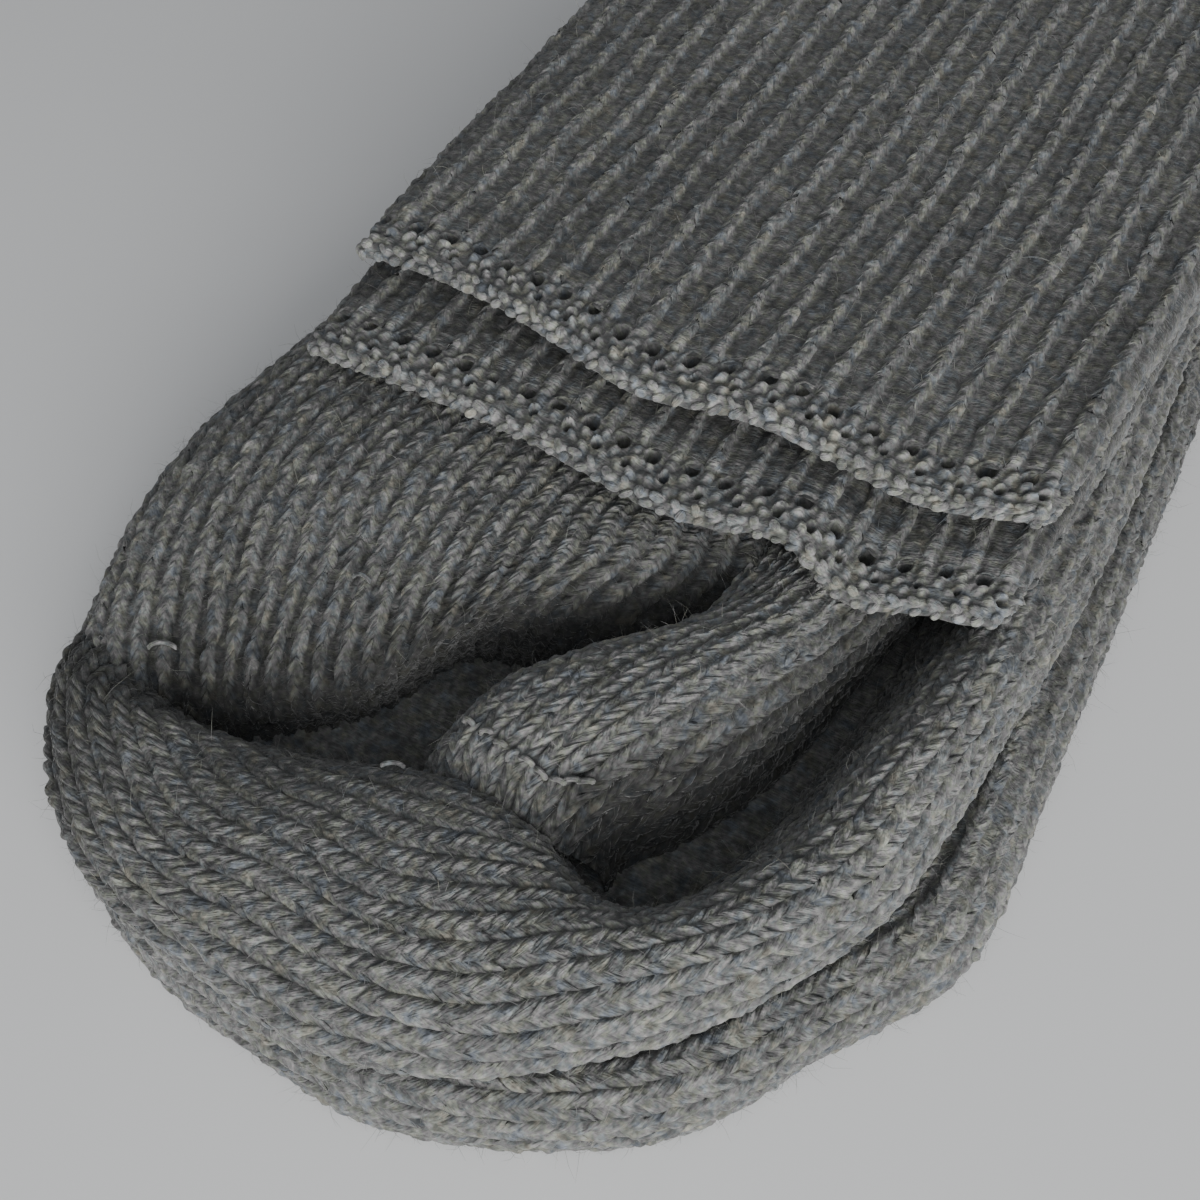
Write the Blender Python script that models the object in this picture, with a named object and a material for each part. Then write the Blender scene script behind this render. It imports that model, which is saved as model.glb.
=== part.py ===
# A pair of thick ribbed wool walking socks, laid one on the other, folded together and lying flat.
# Metres, +Z up.  The length runs along Y: both heels at -Y, the far fold at +Y, the cuffs back on top.
# Each sock is two solids: the foot (heel, foot and the leg layers under it, one rounded body) and the leg
# (the ribbed tube that turns over at the far end and comes back to the cuff, two walls with an open mouth).
import math

import bmesh
import bpy

MM = 0.001

# ---- driving sizes, mm ----
GAP = 0.3  # between two pieces that touch
OUTER_TUBE = 5.6  # thickness of the outer sock's flattened leg tube, both walls
INNER_TUBE = 5.3  # the same on the inner sock
PACK_HEIGHT = 34.3  # from the surface to the top of the outer cuff
FAR_END = 130.0  # y of the far fold's outside, in the working frame below
FOOT_END = 108.0  # y where the foot solids stop and the leg tubes go on
OUTER_EDGE = 20.5  # mean y of the outer sock's cuff edge
INNER_EDGE = 10.5  # mean y of the inner sock's cuff edge, about 10 mm further out
MOUTH_DEPTH = 28.0  # how deep the two walls of a cuff are apart
MOUTH_SLIT = 0.5  # the gap between those walls inside
MOUTH_LIP = 1.3  # the same at the edge
CORNER = 4.0  # rounding of a foot's lower corners
LAYER_GROOVE = 2.2  # how deep the line between a foot's two layers runs into its left side
GROOVE_FROM, GROOVE_FULL = -8.0, 14.0  # y where that line begins, and where it is full
# The tables are in a working frame with the crease near its origin; this moves the object's centre there.
CENTRE = (-0.7, 37.7)

# ---- inner sock's foot: one row for each section across, from the heel to the far end ----
# y, base height, then across the top from left to right: side, left crest, crease, instep lobe,
# valley, right crest, side; each with its x and its height.
INNER_COLUMNS = (
    "y base side_l side_l_z crest_l crest_l_z crease crease_z lobe lobe_z valley valley_z crest_r crest_r_z side_r side_r_z"
).split()
INNER_FOOT = (
    (-52.8, 11.4, -24.0, 12.2, -19.0, 12.9, -15.0, 13.0, -9.0, 13.1, -3.0, 13.0, 2.0, 12.9, 6.0, 12.3),
    (-50.5, 10.0, -31.0, 12.2, -26.0, 14.0, -18.0, 14.4, -10.0, 14.6, -2.0, 14.5, 6.0, 14.2, 12.5, 12.6),
    (-45.0, 9.1, -38.8, 12.4, -33.0, 15.2, -22.0, 15.8, -12.0, 16.2, -1.0, 16.3, 10.0, 16.0, 20.5, 12.8),
    (-36.0, 9.0, -45.8, 13.0, -40.0, 16.2, -28.0, 15.4, -14.0, 16.8, 0.0, 17.3, 15.0, 17.4, 28.5, 13.4),
    (-29.0, 9.0, -49.3, 14.0, -43.0, 16.8, -27.0, 12.6, -13.0, 16.2, 3.0, 16.8, 19.0, 18.0, 33.0, 14.0),
    (-22.0, 9.0, -51.5, 15.0, -44.0, 17.8, -16.0, 11.2, -4.0, 18.2, 16.5, 11.6, 27.0, 19.0, 37.4, 14.8),
    (-13.0, 9.0, -52.5, 16.0, -44.0, 19.6, -10.0, 11.0, 3.5, 21.6, 20.0, 10.8, 30.0, 20.4, 40.6, 15.4),
    (-4.0, 9.0, -51.8, 16.8, -44.0, 21.0, -9.0, 11.0, 12.0, 22.4, 22.5, 10.8, 32.5, 21.4, 41.0, 16.0),
    (4.0, 9.0, -50.4, 17.0, -43.0, 22.0, -1.5, 11.4, 16.5, 22.2, 24.8, 11.2, 34.0, 22.2, 41.0, 16.6),
    (12.0, 9.0, -49.0, 17.0, -42.0, 22.4, 10.0, 15.0, 20.0, 21.6, 27.0, 12.6, 35.0, 22.6, 41.0, 16.8),
    (22.0, 9.0, -47.6, 16.8, -41.0, 22.4, -4.0, 22.4, 18.0, 22.2, 28.0, 16.4, 35.4, 22.6, 41.2, 16.8),
    (38.0, 9.0, -46.6, 16.4, -40.0, 22.0, -10.0, 22.5, 14.0, 22.4, 28.0, 20.6, 35.0, 22.2, 41.0, 16.6),
    (62.0, 8.6, -46.0, 15.8, -40.0, 21.6, -10.0, 22.4, 14.0, 22.4, 28.0, 21.6, 35.0, 21.4, 40.4, 16.0),
    (84.0, 7.8, -45.0, 14.4, -39.0, 19.6, -10.0, 21.0, 14.0, 21.0, 27.0, 20.4, 34.0, 19.4, 39.6, 14.4),
    (99.0, 6.6, -44.2, 10.6, -38.6, 13.8, -10.0, 14.4, 14.0, 14.4, 26.0, 14.2, 33.4, 13.8, 39.0, 10.4),
    (FOOT_END, 5.9, -44.0, 8.6, -39.0, 11.2, -10.0, 11.2, 14.0, 11.2, 26.0, 11.2, 34.0, 11.2, 39.0, 8.6),
)
# ---- outer sock's foot: it lies flat under the other; its rim shows round the heel and on the right ----
# y, left side, its height, top height under the inner sock, the lip's x and height on the right,
# right side, its height.
OUTER_COLUMNS = "y left left_z top lip lip_z right right_z".split()
OUTER_FOOT = (
    (-54.6, -8.0, 5.0, 6.6, 4.5, 6.4, 7.0, 5.2),
    (-53.4, -18.0, 5.0, 7.8, 9.0, 8.0, 13.0, 5.4),
    (-50.6, -29.0, 5.0, 8.6, 15.0, 9.4, 20.0, 5.6),
    (-45.5, -38.0, 5.0, 8.7, 23.0, 10.4, 28.6, 5.8),
    (-36.0, -45.6, 5.0, 8.7, 31.2, 11.0, 36.2, 6.0),
    (-29.0, -48.8, 5.0, 8.7, 35.4, 11.2, 40.2, 6.0),
    (-22.0, -51.0, 5.0, 8.7, 41.2, 11.4, 46.0, 6.2),
    (-14.0, -52.0, 5.0, 8.7, 45.0, 11.8, 50.2, 6.4),
    (-5.0, -51.6, 5.0, 8.7, 46.0, 12.2, 51.1, 6.6),
    (12.0, -49.4, 5.0, 8.7, 45.2, 12.6, 50.0, 6.8),
    (36.0, -47.2, 5.0, 8.7, 44.6, 12.4, 48.4, 6.6),
    (64.0, -46.4, 4.6, 8.2, 43.0, 10.6, 46.6, 5.6),
    (86.0, -45.6, 4.0, 7.2, 41.0, 8.2, 44.0, 4.4),
    (100.0, -45.2, 3.2, 6.1, 38.6, 6.4, 41.8, 3.4),
    (FOOT_END, -45.0, 2.8, 5.6, 38.0, 5.6, 41.0, 2.8),
)
# ---- the cuff edges, seen from above: x as a share of the half width, y added to the mean, height added ----
EDGE_COLUMNS = "share dy dz".split()
OUTER_WAVE = ((-1.0, 1.6, -0.8), (-0.6, 2.2, -0.2), (-0.1, -2.2, 0.5), (0.3, 0.0, 0.2), (0.7, -1.8, -0.3), (1.0, 2.2, -0.8))
INNER_WAVE = ((-1.0, 0.8, -0.8), (-0.6, 0.8, -0.2), (-0.1, 0.0, 0.0), (0.25, -1.2, 0.0), (0.7, 0.6, -0.2), (1.0, 3.0, -1.0))
LEG_LEFT, LEG_RIGHT = -44.6, 40.2  # the leg tubes' sides on top of the pack
LEG_CROWN = 1.1  # how much lower a leg tube lies at its sides than in its middle

COLOURS = {  # linear base colour of the wool
    "outer_sock_foot": (0.235, 0.25, 0.26, 1.0),
    "outer_sock_leg": (0.25, 0.265, 0.27, 1.0),
    "inner_sock_foot": (0.225, 0.24, 0.25, 1.0),
    "inner_sock_leg": (0.24, 0.255, 0.262, 1.0),
}


def along(rows, t):
    """A smooth curve through the rows, at t from 0 to 1: each column by a Catmull-Rom span."""
    t = min(max(t, 0.0), 1.0) * (len(rows) - 1)
    k = min(int(t), len(rows) - 2)
    f = t - k
    a, b, c, d = (rows[min(max(k + j, 0), len(rows) - 1)] for j in (-1, 0, 1, 2))
    return tuple(
        0.5 * (2 * q + (r - p) * f + (2 * p - 5 * q + 4 * r - s) * f * f + (3 * q - p - 3 * r + s) * f**3)
        for p, q, r, s in zip(a, b, c, d)
    )


def stations(rows, spans):
    """Rows between the table's rows, so that a loft runs smoothly from one to the next."""
    count = (len(rows) - 1) * spans
    return [along(rows, i / count) for i in range(count + 1)]


def pressed(x, y):
    """The height that the inner leg's underside leaves for the foot under it, at (x, y)."""
    underside = PACK_HEIGHT - OUTER_TUBE - GAP - INNER_TUBE
    if y < INNER_EDGE - 4.0:
        return underside + 2.0
    share = (x - 0.5 * (LEG_LEFT + LEG_RIGHT)) / (0.5 * (LEG_RIGHT - LEG_LEFT))
    return underside - 1.4 * GAP - (LEG_CROWN + 1.1) * min(1.0, share * share)


def groove(y):
    """The depth at y of the line between a foot's layers."""
    f = min(max((y - GROOVE_FROM) / (GROOVE_FULL - GROOVE_FROM), 0.0), 1.0)
    return LAYER_GROOVE * f * f * (3.0 - 2.0 * f)


def inner_section(row, n_top=31, n_bottom=7):
    """The inner foot's ring at one y: over the top from left to right, then back along the flat base."""
    r = dict(zip(INNER_COLUMNS, row))
    base, y = r["base"], r["y"]
    lift = (r["side_l_z"] - base, r["side_r_z"] - base)
    inset = [min(CORNER, 0.5 * v) for v in lift]
    top = [
        (r["side_l"] + 0.6 * inset[0], base + 0.16 * lift[0]),
        (r["side_l"] + 0.2, base + 0.62 * lift[0]),
        (r["side_l"] + groove(y), r["side_l_z"]),
        (r["side_l"] + 0.1 * inset[0] + 0.2 * groove(y), 0.6 * r["side_l_z"] + 0.4 * r["crest_l_z"]),
        (r["crest_l"], r["crest_l_z"]),
        (0.5 * (r["crest_l"] + r["crease"]), 0.55 * r["crest_l_z"] + 0.45 * r["crease_z"]),
        (r["crease"], r["crease_z"]),
        (r["lobe"], r["lobe_z"]),
        (r["valley"], r["valley_z"]),
        (r["crest_r"], r["crest_r_z"]),
        (r["side_r"], r["side_r_z"]),
        (r["side_r"] - 0.6 * inset[1], base + 0.28 * lift[1]),
    ]
    ring = [along(top, i / (n_top - 1)) for i in range(n_top)]
    x0, x1 = r["side_r"] - 1.6 * inset[1], r["side_l"] + 1.6 * inset[0]
    ring += [(x0 + (x1 - x0) * i / (n_bottom - 1), base) for i in range(n_bottom)]
    return [(x, y, max(min(z, pressed(x, y)), base)) for x, z in ring]


def inner_at(y):
    """The inner foot's row at y, read straight between the table's rows."""
    rows = INNER_FOOT
    if y <= rows[0][0]:
        return dict(zip(INNER_COLUMNS, rows[0]))
    for a, b in zip(rows, rows[1:]):
        if y <= b[0]:
            f = (y - a[0]) / (b[0] - a[0])
            return dict(zip(INNER_COLUMNS, (p + (q - p) * f for p, q in zip(a, b))))
    return dict(zip(INNER_COLUMNS, rows[-1]))


def under_inner(x, y):
    """The height that the inner foot's base leaves for the outer foot under it, at (x, y)."""
    r = inner_at(y)
    beyond = max(x - (r["side_r"] - 1.5), (r["side_l"] + 1.5) - x, INNER_FOOT[0][0] + 1.0 - y, 0.0)
    return r["base"] - 1.4 * GAP + 1.6 * beyond


def outer_section(row, n_top=27, n_bottom=7):
    """The outer foot's ring at one y: a flat slab with a rounded rim and, on the right, a raised lip."""
    r = dict(zip(OUTER_COLUMNS, row))
    round_l = min(CORNER, 0.8 * r["left_z"])
    round_r = min(CORNER, 0.8 * r["right_z"])
    top = [
        (r["left"] + 0.35 * round_l, 0.2 * r["left_z"]),
        (r["left"], 0.5 * r["left_z"]),
        (r["left"] + 0.8 * groove(r["y"]), 0.9 * r["left_z"]),
        (r["left"] + 0.1 * round_l, 1.3 * r["left_z"]),
        (r["left"] + round_l, 0.97 * r["top"]),
        (0.5 * (r["left"] + r["right"]) - 12.0 * (r["right"] - r["left"]) / 100.0, r["top"]),
        (r["lip"] - 0.14 * (r["lip"] - r["left"]), r["top"]),
        (r["lip"], r["lip_z"]),
        (r["right"], r["right_z"]),
        (r["right"] - 0.45 * round_r, 0.3 * r["right_z"]),
    ]
    ring = [along(top, i / (n_top - 1)) for i in range(n_top)]
    x0, x1 = r["right"] - 1.2 * round_r, r["left"] + 1.2 * round_l
    ring += [(x0 + (x1 - x0) * i / (n_bottom - 1), 0.0) for i in range(n_bottom)]
    return [(x, r["y"], max(min(z, under_inner(x, r["y"])), 0.0)) for x, z in ring]


def oval(left, right, thick, n=30):
    """A flattened tube's ring in its own plane: (x, height) about its middle, with round sides."""
    half, mid = 0.5 * (right - left), 0.5 * (right + left)
    ring = []
    for i in range(n):
        a = 2.0 * math.pi * i / n
        c, s = math.cos(a), math.sin(a)
        # evenly spread across the flats, and round at the sides
        share = math.copysign(1.0 - (1.0 - abs(c)) ** 1.35, c)
        depth = math.sqrt(max(0.0, 1.0 - abs(share) ** 9.0))
        ring.append((mid + half * share, 0.5 * thick * depth * (1.0 if s >= 0 else -1.0) * (1.0 if abs(s) > 1e-9 else 0.0)))
    return ring


def leg_ring(path_y, path_z, turn, left, right, thick, half_width, wave=(), reach=0.0):
    """The tube's ring across its path: turn is the path's angle, 0 along +Y on the bottom, pi on top."""
    up = (-math.sin(turn), math.cos(turn))  # the tube's outer side lies below on the bottom layer
    ring = []
    for x, h in oval(left, right, thick):
        share = max(-1.0, min(1.0, (x - 0.5 * (LEG_LEFT + LEG_RIGHT)) / half_width))
        crown = -LEG_CROWN * share * share * max(0.0, -math.cos(turn))
        dy = dz = 0.0
        if wave and reach > 0.0:
            spot = at_share(wave, share)
            dy, dz = spot[1] * reach, spot[2] * reach * reach
        ring.append((x, path_y + up[0] * h + dy, path_z + up[1] * h + crown + dz))
    return ring


def at_share(wave, share):
    """The wave table's row at a share of the half width."""
    for k in range(len(wave) - 1):
        if share <= wave[k + 1][0] or k == len(wave) - 2:
            f = (share - wave[k][0]) / (wave[k + 1][0] - wave[k][0])
            return along(wave, (k + f) / (len(wave) - 1))
    return wave[-1]


def leg_rings(thick, outer_radius, edge, wave, start_left, start_right):
    """From the far end of the foot, round the far fold, along the top to the cuff, and back into its mouth."""
    radius = outer_radius - 0.5 * thick
    middle_z = 0.5 * PACK_HEIGHT
    turn_y = FAR_END - 0.5 * PACK_HEIGHT
    half_width = 0.5 * (LEG_RIGHT - LEG_LEFT)
    stops = [(FOOT_END + GAP, middle_z - radius, 0.0)]
    stops += [
        (turn_y + radius * math.sin(a), middle_z - radius * math.cos(a), a)
        for a in (math.pi * i / 10.0 for i in range(11))
    ]
    run = turn_y - edge
    tops = 14
    stops += [(turn_y - run * i / tops, middle_z + radius, math.pi) for i in range(1, tops + 1)]
    rings = []
    for k, (y, z, turn) in enumerate(stops):
        f = min(1.0, turn / math.pi)
        left = start_left + (LEG_LEFT - start_left) * f
        right = start_right + (LEG_RIGHT - start_right) * f
        reach = max(0.0, 1.0 - (y - edge) / 40.0) if turn == math.pi else 0.0
        rings.append(leg_ring(y, z, turn, left, right, thick, half_width, wave, reach))
    # the lip, then the inside of the mouth back to where the walls meet
    wall = 0.5 * (thick - MOUTH_SLIT)
    z = middle_z + radius
    for depth, slit, side in ((0.0, 0.72 * thick, 0.6), (-0.7, 0.45 * thick, 1.3), (0.6, MOUTH_LIP, wall), (8.0, MOUTH_SLIT, wall), (MOUTH_DEPTH, MOUTH_SLIT, wall)):
        reach = max(0.0, 1.0 - depth / 40.0)
        rings.append(leg_ring(edge + depth - 0.6, z, math.pi, LEG_LEFT + side, LEG_RIGHT - side, slit, half_width, wave, reach))
    return rings


def loft(name, rings, collection):
    """One closed solid through the rings, capped at both ends."""
    bm = bmesh.new()
    loops = [[bm.verts.new(((x - CENTRE[0]) * MM, (y - CENTRE[1]) * MM, z * MM)) for x, y, z in ring] for ring in rings]
    n = len(loops[0])
    for a, b in zip(loops, loops[1:]):
        for i in range(n):
            bm.faces.new((a[i], a[(i + 1) % n], b[(i + 1) % n], b[i]))
    bm.faces.new(loops[0])
    bm.faces.new(loops[-1])
    bmesh.ops.recalc_face_normals(bm, faces=bm.faces)
    if bm.calc_volume(signed=True) < 0.0:
        bmesh.ops.reverse_faces(bm, faces=bm.faces)
    mesh = bpy.data.meshes.new(name)
    bm.to_mesh(mesh)
    bm.free()
    mesh.shade_smooth()
    mesh.set_sharp_from_angle(angle=math.radians(50))
    piece = bpy.data.objects.new(name, mesh)
    material = bpy.data.materials.new(name + "_wool")
    material.use_nodes = True
    shader = material.node_tree.nodes["Principled BSDF"]
    shader.inputs["Base Color"].default_value = COLOURS[name]
    shader.inputs["Roughness"].default_value = 0.95
    shader.inputs["Metallic"].default_value = 0.0
    mesh.materials.append(material)
    collection.objects.link(piece)
    return piece


def main():
    for old in list(bpy.data.objects):
        bpy.data.objects.remove(old, do_unlink=True)
    socks = bpy.data.collections.new("walking_socks")
    bpy.context.scene.collection.children.link(socks)
    loft("outer_sock_foot", [outer_section(r) for r in stations(OUTER_FOOT, 2)], socks)
    loft("inner_sock_foot", [inner_section(r) for r in stations(INNER_FOOT, 2)], socks)
    outer_radius = 0.5 * PACK_HEIGHT
    loft("outer_sock_leg", leg_rings(OUTER_TUBE, outer_radius, OUTER_EDGE, OUTER_WAVE, -45.0, 41.0), socks)
    inner_radius = outer_radius - OUTER_TUBE - GAP
    loft("inner_sock_leg", leg_rings(INNER_TUBE, inner_radius, INNER_EDGE, INNER_WAVE, -44.0, 39.0), socks)


main()
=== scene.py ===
# Looks of the folded pair of walking socks: thick grey marled wool, ribbed legs, plain heels.
# Every cloth is laid out as rows of sections in millimetres, then knitted over in relief: each stitch is
# a pair of slanting yarn legs, ribs are raised wales with purl gutters between them.
import math

import bpy
import numpy as np
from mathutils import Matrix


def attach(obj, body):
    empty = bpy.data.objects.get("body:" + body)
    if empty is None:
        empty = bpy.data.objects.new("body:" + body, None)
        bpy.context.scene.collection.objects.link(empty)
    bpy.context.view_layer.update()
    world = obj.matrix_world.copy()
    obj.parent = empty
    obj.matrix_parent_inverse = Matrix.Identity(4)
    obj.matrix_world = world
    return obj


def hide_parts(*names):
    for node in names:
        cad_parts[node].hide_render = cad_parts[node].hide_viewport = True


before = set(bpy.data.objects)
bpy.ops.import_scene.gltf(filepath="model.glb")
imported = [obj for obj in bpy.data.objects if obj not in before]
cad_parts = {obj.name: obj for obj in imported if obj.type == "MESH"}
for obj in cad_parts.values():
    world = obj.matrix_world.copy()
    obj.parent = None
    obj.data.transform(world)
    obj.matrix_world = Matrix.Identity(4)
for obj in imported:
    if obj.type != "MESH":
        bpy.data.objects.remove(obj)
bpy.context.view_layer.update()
RNG = np.random.default_rng(11)
MM = 0.001
CENTRE = np.array([-0.7, 37.7, 0.0])  # the working frame's point over the object's origin, mm

PACK_HEIGHT, FAR_END, FOOT_END = 34.3, 130.0, 108.0
OUTER_TUBE, INNER_TUBE, GAP = 5.6, 5.3, 0.3
LEG_LEFT, LEG_RIGHT, LEG_CROWN = -44.6, 40.2, 1.1
OUTER_EDGE, INNER_EDGE = 20.5, 10.5

# ------------------------------------------------------------------ sections
# Left flank of the inner sock: each row runs from the left side, over the top, to the crease.
FLANK = [
    [(-43.4, 111.5, 6.8), (-44.2, 111.5, 8.6), (-42.8, 111.5, 10.3), (-32, 111.5, 10.8), (-18, 111.5, 10.8), (-5, 111.5, 10.8), (8, 111.5, 10.8)],
    [(-44.6, 104, 6.9), (-45.6, 104, 9.6), (-43.0, 104, 12.6), (-32, 104, 13.6), (-18, 104, 13.6), (-5, 104, 13.6), (8, 104, 13.6)],
    [(-46.0, 84, 8.2), (-47.2, 84, 12.6), (-43.8, 84, 17.4), (-32, 84, 20.0), (-18, 84, 20.6), (-4, 84, 20.6), (9, 84, 20.4)],
    [(-47.0, 58, 9.1), (-48.3, 58, 14.0), (-44.4, 58, 19.0), (-31, 58, 21.2), (-17, 58, 21.6), (-2, 58, 21.6), (11, 58, 21.2)],
    [(-47.8, 34, 9.4), (-49.8, 34, 14.4), (-45.4, 34, 19.6), (-31, 34, 21.4), (-17, 34, 21.7), (-1, 34, 21.8), (12, 34, 21.0)],
    [(-50.2, 15, 9.4), (-52.2, 15, 14.6), (-46.8, 14.5, 20.2), (-32, 14, 21.8), (-17, 14, 22.0), (0, 14.8, 21.7), (12.4, 15.4, 19.6)],
    [(-52.0, 2.8, 9.4), (-54.1, 2.2, 14.4), (-48.2, 2.4, 19.8), (-33, 4, 22.0), (-18, 6, 21.9), (0.4, 10.2, 21.6), (12.0, 11.2, 17.6)],
    [(-51.9, -6.2, 9.4), (-53.9, -7.0, 14.0), (-48.6, -6.6, 18.8), (-33.6, -4, 21.2), (-18.4, -0.2, 21.3), (-0.6, 6.6, 21.3), (11.2, 7.8, 15.6)],
    [(-51.1, -14.2, 9.4), (-52.7, -15.2, 13.4), (-47.9, -14.8, 17.4), (-33.6, -11.4, 19.4), (-18.4, -5.8, 20.0), (-2.6, 3.0, 20.8), (9.6, 4.6, 13.6)],
    [(-49.4, -21.5, 9.2), (-50.7, -22.4, 12.6), (-46.0, -22, 15.8), (-33, -18.2, 16.8), (-18.2, -11.4, 17.8), (-5.4, -1.0, 19.4), (7.6, 1.2, 12.0)],
    [(-47.6, -28, 9.0), (-48.8, -28.8, 11.6), (-44.4, -28.2, 13.8), (-32, -23.6, 13.2), (-18.4, -17.0, 14.6), (-9.0, -4.6, 16.6), (5.6, -1.0, 10.4)],
    [(-46, -32.4, 8.6), (-46.6, -33, 10.4), (-42.4, -32.2, 11.4), (-31.0, -26.4, 10.0), (-19.2, -18.8, 10.4), (-11.4, -5.8, 11.4), (4.4, -2.0, 8.6)],
    [(-43.6, -35.6, 7.4), (-43.2, -36, 8.4), (-39.0, -35.6, 8.0), (-29.6, -28.0, 6.2), (-18.6, -18.0, 5.6), (-12.4, -6.0, 5.6), (3.4, -3.0, 6.0)],
    [(-41.0, -38.0, 6.0), (-40.6, -38.0, 6.4), (-36.0, -37.6, 5.6), (-25.0, -31.0, 4.6), (-12.0, -24.0, 4.5), (-5.0, -14.0, 4.5), (8.0, -7.0, 4.6)],
]
# Heel pocket and right flank of the inner sock: rows run from the lower rim, over, to the crease or valley.
HEEL = [
    [(-48.8, -16.0, 8.2), (-50.0, -16.6, 10.2), (-46.4, -17.4, 11.2), (-41.8, -18.4, 11.0), (-37.2, -19.6, 10.0), (-33.4, -20.8, 8.4), (-30.4, -21.6, 7.0)],
    [(-47.8, -25.2, 9.2), (-49.7, -26.0, 12.0), (-46.4, -26.8, 13.6), (-41.6, -27.8, 12.4), (-37.0, -28.4, 10.8), (-33.2, -28.6, 9.0), (-30.4, -28.2, 7.0)],
    [(-45.4, -33.2, 9.3), (-47.6, -34.2, 12.3), (-44.0, -34.2, 15.4), (-39.0, -33.8, 16.3), (-34.4, -33.0, 16.0), (-31.0, -31.4, 14.0), (-28.8, -29.2, 9.4)],
    [(-37.2, -43.2, 9.4), (-38.9, -44.6, 12.2), (-36.2, -43.2, 15.3), (-31.4, -40.0, 16.6), (-27.2, -36.0, 16.4), (-24.2, -31.0, 14.4), (-23.2, -27.0, 8.8)],
    [(-26.6, -49.4, 9.5), (-27.8, -50.8, 12.2), (-25.9, -48.9, 15.3), (-22.2, -43.6, 17.0), (-19.2, -36.8, 17.0), (-17.2, -29.6, 14.8), (-16.8, -25.0, 8.6)],
    [(-14.4, -51.2, 9.6), (-14.7, -52.5, 12.2), (-13.9, -50.1, 15.3), (-12.2, -43.4, 17.5), (-10.9, -35.2, 17.9), (-9.6, -27.0, 15.8), (-9.4, -22.6, 9.4)],
    [(-1.0, -51.8, 9.7), (-0.4, -53.0, 12.3), (-0.8, -49.8, 15.5), (-1.4, -43.0, 17.9), (-1.8, -34.0, 18.4), (-2.4, -25.6, 16.8), (-2.2, -21.4, 11.0)],
    [(11.2, -47.2, 9.8), (12.7, -48.6, 12.5), (11.3, -46.0, 15.9), (9.0, -40.2, 18.1), (7.2, -33.0, 18.4), (6.0, -26.0, 16.6), (6.0, -22.4, 10.2)],
    [(20.0, -40.8, 9.9), (21.9, -42.0, 12.9), (20.3, -39.8, 16.5), (17.6, -35.6, 18.3), (15.0, -31.2, 17.6), (13.4, -27.4, 14.2), (12.6, -24.8, 7.6)],
    [(26.6, -34.6, 9.9), (28.9, -35.4, 13.2), (27.4, -33.4, 17.2), (24.6, -30.6, 19.0), (21.6, -27.8, 17.4), (19.6, -26.4, 13.0), (17.8, -25.4, 6.5)],
    [(32.8, -25.4, 10.0), (35.4, -26.0, 13.9), (33.8, -24.4, 18.2), (30.8, -22.6, 19.9), (27.4, -21.2, 18.4), (24.8, -20.4, 13.2), (22.4, -19.4, 6.5)],
    [(38.2, -14.0, 9.9), (40.8, -14.4, 14.4), (39.2, -13.8, 18.8), (35.6, -12.8, 21.0), (31.4, -12.0, 19.6), (28.6, -11.2, 14.0), (25.4, -10.4, 6.5)],
    [(39.6, -2.0, 9.9), (42.2, -2.0, 14.6), (40.8, -2.0, 19.2), (37.2, -1.8, 21.9), (33.4, -1.4, 20.4), (30.6, -1.2, 14.6), (27.2, -0.6, 6.5)],
    [(40.4, 10.0, 9.9), (43.0, 10.0, 14.8), (41.8, 10.0, 19.2), (38.6, 10.2, 21.6), (35.2, 10.4, 20.4), (32.6, 10.6, 15.2), (28.8, 11.0, 7.0)],
    [(40.9, 24.0, 9.9), (43.5, 24.0, 14.8), (42.3, 24.0, 18.8), (39.2, 24.0, 20.9), (36.2, 24.0, 20.2), (33.6, 24.0, 15.6), (30.0, 24.0, 9.0)],
    [(40.7, 45.0, 9.9), (43.1, 45.0, 14.4), (41.8, 45.0, 18.4), (38.8, 45.0, 20.6), (35.4, 45.0, 20.8), (32.0, 45.0, 18.4), (29.6, 45.0, 15.0)],
    [(39.5, 67.0, 9.6), (41.7, 67.0, 14.0), (40.3, 67.0, 18.2), (37.4, 67.0, 20.2), (34.0, 67.0, 20.8), (30.8, 67.0, 20.0), (28.0, 67.0, 18.4)],
    [(38.1, 88.0, 8.2), (40.1, 88.0, 12.6), (38.8, 88.0, 16.8), (35.8, 88.0, 19.0), (32.6, 88.0, 19.4), (29.6, 88.0, 19.0), (27.0, 88.0, 18.0)],
    [(37.1, 104.5, 6.4), (39.0, 104.5, 9.2), (37.8, 104.5, 12.2), (35.0, 104.5, 13.4), (32.0, 104.5, 13.6), (29.0, 104.5, 13.6), (27.0, 104.5, 13.4)],
    [(36.6, 111.5, 6.6), (38.7, 111.5, 8.6), (37.6, 111.5, 10.3), (35.0, 111.5, 10.8), (32.0, 111.5, 10.8), (29.0, 111.5, 10.8), (20.0, 111.5, 10.8)],
]
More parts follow.
